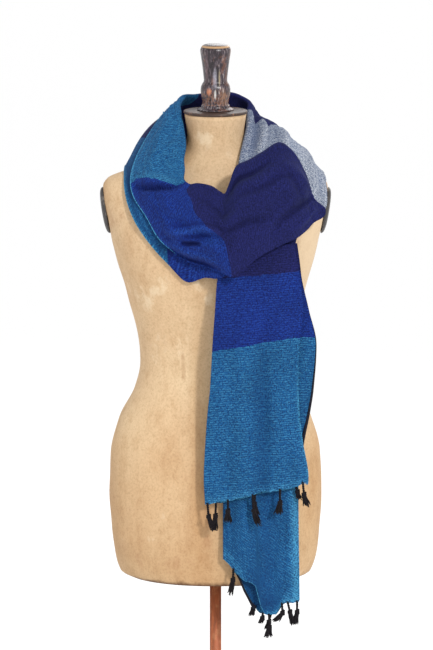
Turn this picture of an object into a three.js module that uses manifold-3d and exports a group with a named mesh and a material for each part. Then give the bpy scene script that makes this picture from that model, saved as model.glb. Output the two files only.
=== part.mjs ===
import * as THREE from "three";
import { mergeVertices } from "three/addons/utils/BufferGeometryUtils.js";
import Module from "manifold-3d";

// A long wool scarf wound once round the neck of a limbless dress form on a pole and a round base.
// Millimetres, +Z up. The pole stands on the Z axis, the floor is at Z 0, and the form faces -Y.

const wasm = await Module();
wasm.setup();

// Driving dimensions
const GAP = 0.3; // clearance between pieces that touch
const CLOTH = 1.6; // thickness of the woven cloth
const LAYER = 3.2; // pitch of the layers in a folded tail
const BASE_RADIUS = 200;
const BASE_THICK = 22;
const HUB_RADIUS = 34;
const HUB_TOP = 52;
const POLE_RADIUS = 9.5;
const FORM_BOTTOM = 514;
const FORM_TOP = 1275.7;
const CAP_RADIUS = 51.5;
const CAP_TOP = 1281;
const FORM_SIDES = 40;

// The dress form, a row for each level: half width, depth to the front and to the back, squareness.
const FORM = [
  { z: 514, half: 143, front: 97, back: 102, square: 2.1 },
  { z: 521, half: 157, front: 101, back: 107, square: 2.15 },
  { z: 552, half: 166, front: 104, back: 113, square: 2.2 },
  { z: 600, half: 171, front: 108, back: 119, square: 2.2 },
  { z: 660, half: 174, front: 110, back: 121, square: 2.2 },
  { z: 720, half: 171, front: 106, back: 114, square: 2.15 },
  { z: 775, half: 157, front: 97, back: 100, square: 2.1 },
  { z: 825, half: 132, front: 89, back: 85, square: 2.1 },
  { z: 868, half: 122, front: 86, back: 78, square: 2.1 },
  { z: 910, half: 126, front: 90, back: 79, square: 2.15 },
  { z: 970, half: 140, front: 102, back: 85, square: 2.25 },
  { z: 1030, half: 158, front: 113, back: 91, square: 2.3 },
  { z: 1075, half: 169, front: 111, back: 93, square: 2.35 },
  { z: 1110, half: 178, front: 100, back: 91, square: 2.4 },
  { z: 1140, half: 183, front: 84, back: 84, square: 2.4 },
  { z: 1158, half: 182, front: 71, back: 75, square: 2.35 },
  { z: 1170, half: 175, front: 62, back: 67, square: 2.3 },
  { z: 1178, half: 158, front: 56, back: 62, square: 2.2 },
  { z: 1187, half: 126, front: 52, back: 58, square: 2.1 },
  { z: 1197, half: 94, front: 49, back: 54, square: 2.05 },
  { z: 1208, half: 67, front: 46, back: 50, square: 2 },
  { z: 1221, half: 51, front: 44, back: 47, square: 2 },
  { z: 1240, half: 46, front: 44, back: 46, square: 2 },
  { z: FORM_TOP, half: 50, front: 50, back: 50, square: 2 },
];

// The wound strip, a row for each station from the front of the right shoulder round the back of
// the neck, over the left shoulder and across the chest to the turned-up end. The strip is folded
// lengthwise: fold is the neck side, edge the outer edge of the upper layer and under that of the
// lower one. puff and belly bulge the two layers, and roll is the thickness at the fold.
const STRIP = [
  { fold: [14, -120, 1062], edge: [134, -122, 1042], under: [130, -116, 1044], puff: 4, belly: 2, roll: 8 },
  { fold: [20, -112, 1104], edge: [131, -122, 1056], under: [127, -112, 1058], puff: 6, belly: 3, roll: 8 },
  { fold: [28, -94, 1146], edge: [127, -108, 1075], under: [122, -101, 1077], puff: 9, belly: 5, roll: 8 },
  { fold: [34, -72, 1182], edge: [137, -90, 1098], under: [130, -84, 1100], puff: 14, belly: 9, roll: 9 },
  { fold: [38, -52, 1209], edge: [174, -65, 1126], under: [162, -61, 1128], puff: 22, belly: 14, roll: 10 },
  { fold: [43, -30, 1230], edge: [179, -46, 1150], under: [169, -43, 1154], puff: 27, belly: 17, roll: 11 },
  { fold: [49, -8, 1252], edge: [176, -19, 1172], under: [166, -18, 1180], puff: 21, belly: 14, roll: 12 },
  { fold: [51, 12, 1270], edge: [168, 12, 1184], under: [158, 13, 1187], puff: 14, belly: 10, roll: 12 },
  { fold: [52, 30, 1280], edge: [156, 40, 1187], under: [148, 40, 1188], puff: 9, belly: 7, roll: 11 },
  { fold: [54, 45, 1288], edge: [134, 66, 1190], under: [128, 63, 1189], puff: 8, belly: 6, roll: 10 },
  { fold: [46, 60, 1294], edge: [98, 88, 1190], under: [95, 84, 1184], puff: 12, belly: 8, roll: 9 },
  { fold: [27, 68, 1301], edge: [54, 104, 1184], under: [56, 99, 1172], puff: 16, belly: 9, roll: 9 },
  { fold: [-2, 71, 1301], edge: [0, 110, 1180], under: [0, 105, 1164], puff: 17, belly: 9, roll: 9 },
  { fold: [-30, 68, 1298], edge: [-60, 102, 1204], under: [-64, 98, 1170], puff: 12, belly: 7, roll: 9 },
  { fold: [-49, 57, 1297], edge: [-93, 73, 1256], under: [-118, 72, 1188], puff: 1, belly: 7, roll: 9 },
  { fold: [-57, 34, 1288], edge: [-87, 37, 1269], under: [-140, 38, 1188], puff: 2, belly: 14, roll: 9 },
  { fold: [-55, 10, 1276], edge: [-98, 5, 1256], under: [-147, 2, 1188], puff: 4, belly: 17, roll: 9 },
  { fold: [-50, -18, 1252], edge: [-118, -24, 1225], under: [-147, -32, 1177], puff: 11, belly: 16, roll: 9 },
  { fold: [-47, -42, 1231], edge: [-132, -46, 1198], under: [-146, -55, 1162], puff: 16, belly: 14, roll: 10 },
  { fold: [-50, -62, 1211], edge: [-136, -64, 1172], under: [-141, -72, 1140], puff: 19, belly: 12, roll: 10 },
  { fold: [-49, -77, 1196], edge: [-130, -80, 1149], under: [-131, -86, 1117], puff: 21, belly: 11, roll: 10 },
  { fold: [-50, -88, 1182], edge: [-112, -98, 1124], under: [-118, -94, 1096], puff: 22, belly: 9, roll: 11 },
  { fold: [-41, -96, 1175], edge: [-92, -112, 1091], under: [-98, -104, 1071], puff: 24, belly: 8, roll: 12 },
  { fold: [-29, -101, 1177], edge: [-69, -124, 1071], under: [-74, -112, 1046], puff: 26, belly: 8, roll: 13 },
  { fold: [-16, -105, 1176], edge: [-46, -132, 1056], under: [-46, -118, 1020], puff: 27, belly: 8, roll: 14 },
  { fold: [-4, -110, 1173], edge: [-17, -144, 1050], under: [-18, -131, 1029], puff: 27, belly: 7, roll: 15 },
  { fold: [6, -116, 1167], edge: [8, -157, 1042], under: [4, -149, 1031], puff: 26, belly: 6, roll: 15 },
  { fold: [16, -121, 1164], edge: [28, -166, 1036], under: [26, -157, 1042], puff: 25, belly: 5, roll: 16 },
  { fold: [24, -118, 1184], edge: [45, -167, 1047], under: [43, -156, 1055], puff: 26, belly: 4, roll: 20 },
  { fold: [33, -110, 1206], edge: [61, -166, 1062], under: [59, -154, 1070], puff: 27, belly: 3, roll: 25 },
  { fold: [52, -99, 1214], edge: [78, -163, 1073], under: [76, -151, 1080], puff: 28, belly: 3, roll: 29 },
  { fold: [75, -88, 1226], edge: [95, -155, 1081], under: [93, -143, 1088], puff: 28, belly: 3, roll: 32 },
  { fold: [100, -78, 1239], edge: [113, -150, 1089], under: [111, -138, 1096], puff: 27, belly: 3, roll: 33 },
  { fold: [118, -76, 1227], edge: [131, -142, 1096], under: [128, -131, 1103], puff: 18, belly: 3, roll: 31 },
  { fold: [132, -78, 1203], edge: [147, -129, 1107], under: [144, -119, 1112], puff: 8, belly: 3, roll: 27 },
  { fold: [144, -82, 1179], edge: [157, -117, 1116], under: [155, -107, 1120], puff: 2, belly: 2, roll: 14 },
  { fold: [152, -86, 1152], edge: [170, -103, 1121], under: [167, -98, 1124], puff: 1, belly: 1, roll: 10 },
  { fold: [172, -84, 1136], edge: [176, -92, 1126], under: [174, -88, 1128], puff: 3, belly: 1, roll: 8 },
];

// The stretches of the strip that show, by station, each a piece of its own.
const STRETCHES = [
  { name: "scarf_right_shoulder", from: 0, to: 10, rows: 14, colour: 0x93a5c0 },
  { name: "scarf_behind_neck", from: 10, to: 14, rows: 8, colour: 0x27265a },
  { name: "scarf_left_collar", from: 14, to: 21.6, rows: 14, colour: 0x2370a4 },
  { name: "scarf_chest_crossing", from: 21.6, to: 27, rows: 10, colour: 0x1f3792 },
  { name: "scarf_turned_end", from: 27, to: 37, rows: 15, colour: 0x27265a },
];

// Soft folds along the strip: where each starts and ends by station, how far it lies from the
// edge to the fold of the upper layer, how wide and how high it is.
const STRIP_FOLDS = [
  { from: 19, to: 29, across: 0.62, slope: -0.012, wide: 0.09, high: 5 },
  { from: 20.5, to: 28, across: 0.4, slope: -0.004, wide: 0.06, high: -7 },
  { from: 22, to: 28, across: 0.22, slope: 0, wide: 0.09, high: 6 },
  { from: 15, to: 20, across: 0.5, slope: 0, wide: 0.14, high: 3 },
  { from: 28, to: 35, across: 0.36, slope: 0.01, wide: 0.1, high: -5 },
  { from: 29, to: 36, across: 0.74, slope: 0, wide: 0.1, high: 4 },
  { from: 2, to: 10, across: 0.74, slope: 0, wide: 0.07, high: -8 },
  { from: 3, to: 9, across: 0.4, slope: 0.01, wide: 0.1, high: -4 },
  { from: 7, to: 12, across: 0.84, slope: 0, wide: 0.12, high: -8 },
];

// The two hanging ends, a row for each level. left is the folded side, right the edge of the
// front layer, behind the edge of the back layer, and front the depth of the front layer.
const FRONT_TAIL = {
  name: "scarf_front_tail",
  top: { left: 1084, right: 1084 },
  colour: 0x2370a4,
  levels: [
    { z: 1090, left: 30, right: 125, behind: 129, front: 140 },
    { z: 1055, left: 12, right: 130, behind: 134, front: 143 },
    { z: 1030, left: 3, right: 134, behind: 137, front: 143 },
    { z: 976, left: -1, right: 140, behind: 149, front: 141 },
    { z: 919, left: -5, right: 134, behind: 161, front: 138.8 },
    { z: 848, left: -9, right: 132, behind: 156, front: 138.3 },
    { z: 809, left: -13, right: 134, behind: 150, front: 138.4 },
    { z: 766, left: -16, right: 139, behind: 141, front: 139.1 },
    { z: 702, left: -19, right: 149, behind: 132, front: 140.1 },
    { z: 660, left: -17, right: 142, behind: 128, front: 140.9 },
  ],
  // height of the front layer's hem at each place across
  hem: [
    { x: -19, z: 660 },
    { x: -8, z: 662 },
    { x: 20, z: 667 },
    { x: 72, z: 680 },
    { x: 120, z: 688 },
    { x: 138, z: 694 },
    { x: 146, z: 688 },
  ],
};
const LONG_TAIL = {
  name: "scarf_long_tail",
  top: { left: 1060.9, right: 1041.2 },
  colour: 0x2370a4,
  levels: [
    { z: 1050, left: 14, right: 134, behind: 131, front: 126 },
    { z: 950, left: 13, right: 134, behind: 130, front: 126 },
    { z: 850, left: 12, right: 133, behind: 128, front: 124 },
    { z: 700, left: 12, right: 133, behind: 128, front: 124 },
    { z: 590, left: 12, right: 134, behind: 128, front: 124 },
    { z: 540, left: 13, right: 135, behind: 128, front: 124 },
    { z: 475, left: 22, right: 136, behind: 124, front: 124 },
  ],
  hem: [
    { x: 12, z: 570 },
    { x: 33, z: 544 },
    { x: 45, z: 524 },
    { x: 58, z: 496 },
    { x: 75, z: 476 },
    { x: 97, z: 475 },
    { x: 112, z: 494 },
    { x: 137, z: 493 },
  ],
};
const TAIL_ROWS = 14;
const TAIL_STEPS = 7; // along each layer
const INSET = 5; // the inner layers of a tail turn this far inside the outer ones
const TAIL_RIPPLES = [
  { tail: "scarf_front_tail", x: 45, wide: 14, high: 4, top: 1000, bottom: 660 },
  { tail: "scarf_front_tail", x: 75, wide: 10, high: -6, top: 1000, bottom: 660 },
  { tail: "scarf_front_tail", x: 106, wide: 13, high: 3, top: 960, bottom: 660 },
  { tail: "scarf_front_tail", x: 18, wide: 11, high: -3, top: 900, bottom: 660 },
  { tail: "scarf_long_tail", x: 44, wide: 12, high: 4, top: 760, bottom: 480 },
  { tail: "scarf_long_tail", x: 92, wide: 15, high: -4, top: 800, bottom: 480 },
];

// Tassels: the layer of the tail that each hangs from, its place along that layer, the sway of its
// loose end and the length of its cord.
const TASSELS = [
  { tail: FRONT_TAIL, layer: 0, part: 0.97, sway: 9, cord: 21 },
  { tail: FRONT_TAIL, layer: 1, part: 0.17, sway: -1, cord: 16 },
  { tail: FRONT_TAIL, layer: 0, part: 0.74, sway: 4, cord: 20 },
  { tail: FRONT_TAIL, layer: 0, part: 0.51, sway: 7, cord: 33 },
  { tail: FRONT_TAIL, layer: 0, part: 0.26, sway: -6, cord: 22 },
  { tail: FRONT_TAIL, layer: 0, part: 0.05, sway: 3, cord: 20 },
  { tail: FRONT_TAIL, layer: 3, part: 0.99, sway: 4, cord: 19 },
  { tail: FRONT_TAIL, layer: 2, part: 0.44, sway: -3, cord: 18 },
  { tail: LONG_TAIL, layer: 0, part: 0.83, sway: -6, cord: 15 },
  { tail: LONG_TAIL, layer: 0, part: 0.63, sway: -6, cord: 14 },
  { tail: LONG_TAIL, layer: 0, part: 0.45, sway: -2, cord: 17 },
  { tail: LONG_TAIL, layer: 0, part: 0.24, sway: -7, cord: 17 },
  { tail: LONG_TAIL, layer: 0, part: 0.16, sway: 5, cord: 18 },
  { tail: LONG_TAIL, layer: 0, part: 0.02, sway: -2, cord: 18 },
  { tail: LONG_TAIL, layer: 3, part: 0.35, sway: 3, cord: 16 },
  { tail: LONG_TAIL, layer: 2, part: 0.3, sway: -2, cord: 16 },
];
const CORD_RADIUS = 1.5;
const KNOT_RADIUS = 3.8;
const STRANDS = 7;
const STRAND_LENGTH = 19;
const STRAND_RADIUS = 0.7;

const clamp = (v, low, high) => Math.min(high, Math.max(low, v));
const vec = (p) => new THREE.Vector3(p[0], p[1], p[2]);

// A smooth curve through the numbers in one column of a table, looked up by another column.
function lookUp(rows, key, column, at) {
  const rising = rows[rows.length - 1][key] > rows[0][key];
  const x = (i) => (rising ? rows[i][key] : -rows[i][key]);
  const t = rising ? at : -at;
  let i = 0;
  while (i < rows.length - 2 && x(i + 1) < t) i++;
  const slope = (k) => (rows[k + 1][column] - rows[k][column]) / (x(k + 1) - x(k));
  const tangent = (k) => {
    if (k === 0) return slope(0);
    if (k === rows.length - 1) return slope(k - 1);
    const a = slope(k - 1);
    const b = slope(k);
    return a * b <= 0 ? 0 : (2 * a * b) / (a + b);
  };
  const h = x(i + 1) - x(i);
  const s = clamp((t - x(i)) / h, 0, 1);
  const s2 = s * s;
  const s3 = s2 * s;
  return (
    (2 * s3 - 3 * s2 + 1) * rows[i][column] +
    (s3 - 2 * s2 + s) * h * tangent(i) +
    (3 * s2 - 2 * s3) * rows[i + 1][column] +
    (s3 - s2) * h * tangent(i + 1)
  );
}

// How far out a point lies from the form's axis, as a share of the form's own outline there.
function formShare(x, y, z) {
  const level = clamp(z, FORM_BOTTOM, FORM_TOP);
  const half = lookUp(FORM, "z", "half", level);
  const deep = lookUp(FORM, "z", y < 0 ? "front" : "back", level);
  const power = lookUp(FORM, "z", "square", level);
  return (Math.abs(x / half) ** power + Math.abs(y / deep) ** power) ** (1 / power);
}

// Moves a point out of the form until it clears the surface by the given distance.
function settle(p, clear) {
  if (p.z > CAP_TOP + 4) return p;
  const e = 0.5;
  for (let round = 0; round < 6; round++) {
    const here = formShare(p.x, p.y, p.z);
    const slope = new THREE.Vector3(
      (formShare(p.x + e, p.y, p.z) - formShare(p.x - e, p.y, p.z)) / (2 * e),
      (formShare(p.x, p.y + e, p.z) - formShare(p.x, p.y - e, p.z)) / (2 * e),
      (formShare(p.x, p.y, p.z + e) - formShare(p.x, p.y, p.z - e)) / (2 * e),
    );
    const steep = slope.length();
    const away = (here - 1) / steep;
    if (away >= clear) break;
    p.addScaledVector(slope, (clear - away) / steep);
  }
  return p;
}

// A closed wall of even thickness about a grid of points, rows by columns. along gives the way the
// cloth runs at each point, or the rows beside it do.
function wall(grid, thick, along) {
  const rows = grid.length;
  const cols = grid[0].length;
  const position = [];
  const beside = (i, j) => grid[Math.min(i + 1, rows - 1)][j].clone().sub(grid[Math.max(i - 1, 0)][j]);
  const way = along ?? beside;
  const normal = (i, j) => {
    const across = grid[i][Math.min(j + 1, cols - 1)].clone().sub(grid[i][Math.max(j - 1, 0)]);
    return way(i, j).cross(across).normalize();
  };
  for (const side of [0.5, -0.5])
    for (let i = 0; i < rows; i++)
      for (let j = 0; j < cols; j++)
        position.push(...grid[i][j].clone().addScaledVector(normal(i, j), side * thick).toArray());
  const at = (side, i, j) => side * rows * cols + i * cols + j;
  const index = [];
  const quad = (a, b, c, d) => index.push(a, b, c, a, c, d);
  for (let i = 0; i < rows - 1; i++)
    for (let j = 0; j < cols - 1; j++) {
      quad(at(0, i, j), at(0, i + 1, j), at(0, i + 1, j + 1), at(0, i, j + 1));
      quad(at(1, i, j), at(1, i, j + 1), at(1, i + 1, j + 1), at(1, i + 1, j));
    }
  for (let i = 0; i < rows - 1; i++) {
    quad(at(1, i, 0), at(1, i + 1, 0), at(0, i + 1, 0), at(0, i, 0));
    quad(at(0, i, cols - 1), at(0, i + 1, cols - 1), at(1, i + 1, cols - 1), at(1, i, cols - 1));
  }
  for (let j = 0; j < cols - 1; j++) {
    quad(at(0, 0, j), at(0, 0, j + 1), at(1, 0, j + 1), at(1, 0, j));
    quad(at(1, rows - 1, j), at(1, rows - 1, j + 1), at(0, rows - 1, j + 1), at(0, rows - 1, j));
  }
  const geometry = new THREE.BufferGeometry();
  geometry.setAttribute("position", new THREE.Float32BufferAttribute(position, 3));
  geometry.setIndex(index);
  return geometry;
}

// One value of the strip's table at a station between two rows, on a Catmull-Rom curve.
function stationValue(column, u) {
  const last = STRIP.length - 1;
  const i = clamp(Math.floor(u), 0, last - 1);
  const s = u - i;
  const take = (k) => {
    const v = STRIP[clamp(k, 0, last)][column];
    return Array.isArray(v) ? v : [v];
  };
  const [a, b, c, d] = [take(i - 1), take(i), take(i + 1), take(i + 2)];
  return b.map((q, k) => {
    const m0 = (c[k] - a[k]) / 2;
    const m1 = (d[k] - q) / 2;
    const bend = 3 * (c[k] - q) - 2 * m0 - m1;
    const twist = 2 * (q - c[k]) + m0 + m1;
    return q + s * m0 + s * s * bend + s * s * s * twist;
  });
}

// Height of the soft folds at one place on the strip.
function stripFold(u, w) {
  let high = 0;
  for (const f of STRIP_FOLDS) {
    const s = (u - f.from) / (f.to - f.from);
    if (s <= 0 || s >= 1) continue;
    const d = (w - f.across - f.slope * (u - f.from)) / f.wide;
    high += f.high * Math.sin(Math.PI * s) * Math.exp(-d * d);
  }
  return high;
}

// Points across the strip at one station: upper layer, round the fold, and the lower layer back.
function stripSection(u, upper, round, lower) {
  const fold = vec(stationValue("fold", u));
  const edge = vec(stationValue("edge", u));
  const under = vec(stationValue("under", u));
  const [puff] = stationValue("puff", u);
  const [belly] = stationValue("belly", u);
  const [roll] = stationValue("roll", u);
  const middle = (v) => vec(stationValue("fold", v)).add(vec(stationValue("edge", v)));
  const last = STRIP.length - 1;
  const along = middle(Math.min(u + 0.25, last)).sub(middle(Math.max(u - 0.25, 0)));
  const inward = fold.clone().sub(edge).normalize();
  const out = along.clone().cross(inward).normalize();
  const centre = fold.clone().addScaledVector(inward, -roll / 2);
  if (out.dot(new THREE.Vector3(centre.x, centre.y, 30)) < 0) out.negate();
  const points = [];
  for (let k = 0; k <= upper; k++) {
    const w = k / upper;
    const bulge = puff * Math.sin(Math.PI * w) + (roll / 2) * w + stripFold(u, w);
    points.push(edge.clone().lerp(centre, w).addScaledVector(out, bulge));
  }
  for (let k = 1; k < round; k++) {
    const turn = (Math.PI * k) / round;
    const p = centre.clone().addScaledVector(out, (roll / 2) * Math.cos(turn));
    points.push(p.addScaledVector(inward, (roll / 2) * Math.sin(turn)));
  }
  for (let k = 0; k <= lower; k++) {
    const w = k / lower;
    const bulge = belly * Math.sin(Math.PI * w) - (roll / 2) * (1 - w);
    points.push(centre.clone().lerp(under, w).addScaledVector(out, bulge));
  }
  return points.map((p, k) => settle(p, CLOTH / 2 + (k <= upper ? 5.5 : 1.1)));
}

const scarf = [];
const cloth = (colour) => new THREE.MeshStandardMaterial({ color: colour, roughness: 0.95, metalness: 0 });

function addMesh(list, name, geometry, material) {
  const mesh = new THREE.Mesh(geometry, material);
  mesh.name = name;
  list.push(mesh);
}

const SEAM = 0.012; // trimmed off each stretch at a seam, as a share of a station
for (const piece of STRETCHES) {
  const start = piece.from === 0 ? 0 : piece.from + SEAM;
  const end = piece.to === STRIP.length - 1 ? piece.to : piece.to - SEAM;
  const section = (u) => stripSection(clamp(u, 0, STRIP.length - 1), 8, 4, 7);
  const grid = [];
  const ways = [];
  for (let i = 0; i <= piece.rows; i++) {
    const u = start + ((end - start) * i) / piece.rows;
    const back = section(u - 0.1);
    grid.push(section(u));
    ways.push(section(u + 0.1).map((p, j) => p.sub(back[j])));
  }
  addMesh(scarf, piece.name, wall(grid, CLOTH, (i, j) => ways[i][j].clone()), cloth(piece.colour));
}

// Depth of a tail's front layer, with its soft ripples and a slight turn round the body.
function tailFront(tail, x, z) {
  let y = -lookUp(tail.levels, "z", "front", z) + 9 * ((x - 60) / 100) ** 2;
  for (const r of TAIL_RIPPLES) {
    if (r.tail !== tail.name) continue;
    const down = clamp((r.top - z) / (r.top - r.bottom), 0, 1);
    y -= r.high * down * Math.exp(-(((x - r.x) / r.wide) ** 2));
  }
  return y;
}

// Where a layer of a tail starts and ends at one level, and the height of its hem.
function tailRun(tail, layer, z) {
  const left = lookUp(tail.levels, "z", "left", z);
  const right = lookUp(tail.levels, "z", "right", z);
  const behind = lookUp(tail.levels, "z", "behind", z);
  const turn = Math.min(right, behind) - INSET;
  const ends = [
    [right, left + LAYER / 2],
    [left + LAYER / 2, turn - LAYER / 2],
    [turn - LAYER / 2, left + INSET + LAYER / 2],
    [left + INSET + LAYER / 2, behind],
  ];
  return ends[layer];
}
function tailHem(tail, layer, part) {
  const [start, stop] = tailRun(tail, layer, tail.levels[tail.levels.length - 1].z);
  return lookUp(tail.hem, "x", "z", start + (stop - start) * part) - layer;
}

// A point on a tail: part runs along one of its four layers, and down from the top to the hem.
function tailPoint(tail, layer, part, down) {
  const [first, last] = tailRun(tail, layer, tail.levels[0].z);
  const { left, right } = tail.levels[0];
  const across = (first + (last - first) * part - left) / (right - left);
  const top = tail.top.left + (tail.top.right - tail.top.left) * across;
  const z = top + (tailHem(tail, layer, part) - top) * down;
  const [start, stop] = tailRun(tail, layer, z);
  const x = start + (stop - start) * part;
  return new THREE.Vector3(x, tailFront(tail, x, z) + layer * LAYER, z);
}

// One section of a tail through its four layers, with half circles where they turn.
function tailSection(tail, down, steps) {
  const points = [];
  for (let layer = 0; layer < 4; layer++) {
    for (let k = 0; k <= steps; k++) points.push(tailPoint(tail, layer, k / steps, down));
    if (layer === 3) break;
    const last = points[points.length - 1];
    const side = layer % 2 === 0 ? -1 : 1;
    for (const angle of [Math.PI / 3, (2 * Math.PI) / 3]) {
      const out = (side * LAYER * Math.sin(angle)) / 2;
      const back = (LAYER * (1 - Math.cos(angle))) / 2;
      points.push(new THREE.Vector3(last.x + out, last.y + back, last.z - angle / Math.PI));
    }
  }
  return points;
}

for (const tail of [FRONT_TAIL, LONG_TAIL]) {
  const grid = [];
  for (let i = 0; i <= TAIL_ROWS; i++) grid.push(tailSection(tail, i / TAIL_ROWS, TAIL_STEPS));
  addMesh(scarf, tail.name, wall(grid, CLOTH), cloth(tail.colour));
}

// A closed mesh as a manifold solid, and back.
function solid(geometry) {
  const plain = new THREE.BufferGeometry();
  plain.setAttribute("position", geometry.getAttribute("position"));
  if (geometry.index) plain.setIndex(geometry.index);
  const merged = mergeVertices(plain, 1e-3);
  return new wasm.Manifold(
    new wasm.Mesh({
      numProp: 3,
      vertProperties: merged.attributes.position.array,
      triVerts: new Uint32Array(merged.index.array),
    }),
  );
}
function fromSolid(body) {
  const mesh = body.getMesh();
  const geometry = new THREE.BufferGeometry();
  geometry.setAttribute("position", new THREE.Float32BufferAttribute(mesh.vertProperties, 3));
  geometry.setIndex(new THREE.Uint32BufferAttribute(mesh.triVerts, 1));
  return geometry;
}

// A round body along a line of places, each with its own radius, closed at both ends.
function taper(places, sides) {
  const position = [];
  const index = [];
  places.forEach((p) => {
    for (let k = 0; k < sides; k++) {
      const a = (2 * Math.PI * k) / sides;
      position.push(p.x + p.radius * Math.cos(a), p.y + p.radius * Math.sin(a), p.z);
    }
  });
  for (let i = 0; i < places.length - 1; i++)
    for (let k = 0; k < sides; k++) {
      const n = (k + 1) % sides;
      const [a, b] = [i * sides + k, i * sides + n];
      index.push(a, a + sides, b + sides, a, b + sides, b);
    }
  for (let k = 1; k < sides - 1; k++) {
    index.push(0, k, k + 1);
    const low = (places.length - 1) * sides;
    index.push(low, low + k + 1, low + k);
  }
  const geometry = new THREE.BufferGeometry();
  geometry.setAttribute("position", new THREE.Float32BufferAttribute(position, 3));
  geometry.setIndex(index);
  return geometry;
}

// A place on the hem of a tail's wall, which runs straight from point to point.
function hemPlace(tail, layer, part) {
  const k = Math.min(Math.floor(part * TAIL_STEPS), TAIL_STEPS - 1);
  const start = tailPoint(tail, layer, k / TAIL_STEPS, 1);
  const stop = tailPoint(tail, layer, (k + 1) / TAIL_STEPS, 1);
  return start.lerp(stop, part * TAIL_STEPS - k);
}

// A tassel hangs from the hem: a twisted cord, a knot, and loose strands fused into the knot.
function tassel(row, number) {
  const place = hemPlace(row.tail, row.layer, row.part);
  const nearby = [-0.011, 0.011].map((d) => hemPlace(row.tail, row.layer, clamp(row.part + d, 0, 1)).z);
  const y = place.y;
  const top = Math.min(place.z, ...nearby) - 2 * GAP;
  const leanAt = (z) => (row.sway * (top - z)) / 50;
  const knotZ = top - row.cord;
  const head = taper(
    [
      { z: top, radius: CORD_RADIUS },
      { z: top - row.cord * 0.5, radius: CORD_RADIUS * 1.1 },
      { z: knotZ + 3, radius: CORD_RADIUS },
      { z: knotZ + 0.5, radius: KNOT_RADIUS },
      { z: knotZ - 3, radius: KNOT_RADIUS * 0.9 },
      { z: knotZ - 6, radius: 2.1 },
    ].map((p) => ({ ...p, x: place.x + leanAt(p.z), y })),
    6,
  );
  let body = solid(head);
  for (let k = 0; k < STRANDS; k++) {
    const a = (2 * Math.PI * (k + 0.3 * number)) / STRANDS;
    const length = STRAND_LENGTH * (0.85 + 0.15 * Math.sin(5 * k + 3 * number));
    const strand = taper(
      [0, 0.5, 1].map((s) => {
        const z = knotZ - 3.5 - length * s;
        const spread = 1.2 + 3 * s * s + 1.4 * s;
        return {
          x: place.x + leanAt(z) + spread * Math.cos(a),
          y: y + 0.7 * spread * Math.sin(a),
          z,
          radius: STRAND_RADIUS,
        };
      }),
      3,
    );
    body = body.add(solid(strand));
  }
  return fromSolid(body);
}

const tasselBlack = new THREE.MeshStandardMaterial({ color: 0x17151a, roughness: 0.9, metalness: 0 });
TASSELS.forEach((row, k) => {
  const end = row.tail === FRONT_TAIL ? "front" : "long";
  const number = TASSELS.slice(0, k + 1).filter((r) => r.tail === row.tail).length;
  addMesh(scarf, "tassel_" + end + "_" + number, tassel(row, number), tasselBlack.clone());
});

// The dress form, one smooth closed solid through a ring at each level.
function formLevels() {
  const levels = [];
  FORM.forEach((row, i) => {
    levels.push(row.z);
    const next = FORM[i + 1];
    if (next && next.z - row.z > 50) levels.push((row.z + next.z) / 2);
  });
  return levels;
}
function dressForm() {
  const levels = formLevels();
  const position = [];
  for (const z of levels) {
    const half = lookUp(FORM, "z", "half", z);
    const front = lookUp(FORM, "z", "front", z);
    const back = lookUp(FORM, "z", "back", z);
    const power = 2 / lookUp(FORM, "z", "square", z);
    for (let k = 0; k < FORM_SIDES; k++) {
      const a = (2 * Math.PI * k) / FORM_SIDES;
      const x = half * Math.sign(Math.cos(a)) * Math.abs(Math.cos(a)) ** power;
      const y = Math.sign(Math.sin(a)) * Math.abs(Math.sin(a)) ** power;
      position.push(x, y * (y < 0 ? front : back), z);
    }
  }
  const index = [];
  for (let i = 0; i < levels.length - 1; i++)
    for (let k = 0; k < FORM_SIDES; k++) {
      const a = i * FORM_SIDES + k;
      const b = i * FORM_SIDES + ((k + 1) % FORM_SIDES);
      index.push(a, b, b + FORM_SIDES, a, b + FORM_SIDES, a + FORM_SIDES);
    }
  const top = (levels.length - 1) * FORM_SIDES;
  for (let k = 1; k < FORM_SIDES - 1; k++) {
    index.push(0, k + 1, k);
    index.push(top, top + k, top + k + 1);
  }
  const geometry = new THREE.BufferGeometry();
  geometry.setAttribute("position", new THREE.Float32BufferAttribute(position, 3));
  geometry.setIndex(index);
  return geometry;
}

// A turned body from a profile of radius and height, standing on the Z axis.
function turned(profile, sides) {
  const geometry = new THREE.LatheGeometry(
    profile.map(([r, z]) => new THREE.Vector2(r, z)),
    sides,
  );
  return geometry.rotateX(Math.PI / 2);
}

const stand = [];
const metal = (colour, roughness) => new THREE.MeshStandardMaterial({ color: colour, roughness, metalness: 0.1 });

// The form's sides are cut flat where the oval plates close the armholes.
const PLATE = { reach: 175, z: 1118, halfWide: 32, halfHigh: 38, thick: 9, lean: 0.16, cutDeep: 40, cutHigh: 116 };
const PLATE_DOME = [
  [0, 0],
  [1, 0],
  [1, 0.35],
  [0.9, 0.7],
  [0.6, 0.93],
  [0, 1],
];
let form = solid(dressForm());
for (const side of [-1, 1]) {
  const cutter = new THREE.BoxGeometry(PLATE.cutDeep, 240, PLATE.cutHigh)
    .translate(PLATE.cutDeep / 2, 0, 0)
    .rotateY(PLATE.lean)
    .translate(PLATE.reach, 0, PLATE.z);
  if (side < 0) cutter.rotateZ(Math.PI);
  form = form.subtract(solid(cutter));
  const plate = new THREE.LatheGeometry(PLATE_DOME.map(([r, t]) => new THREE.Vector2(r, t)), 28)
    .scale(PLATE.halfHigh, PLATE.thick, PLATE.halfWide)
    .rotateY(Math.PI / 2)
    .rotateZ(-Math.PI / 2)
    .translate(GAP, 0, 0)
    .rotateY(PLATE.lean)
    .translate(PLATE.reach, 0, PLATE.z);
  if (side < 0) plate.rotateZ(Math.PI);
  addMesh(stand, side < 0 ? "armhole_plate_left" : "armhole_plate_right", plate, metal(0x45413f, 0.6));
}
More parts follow.
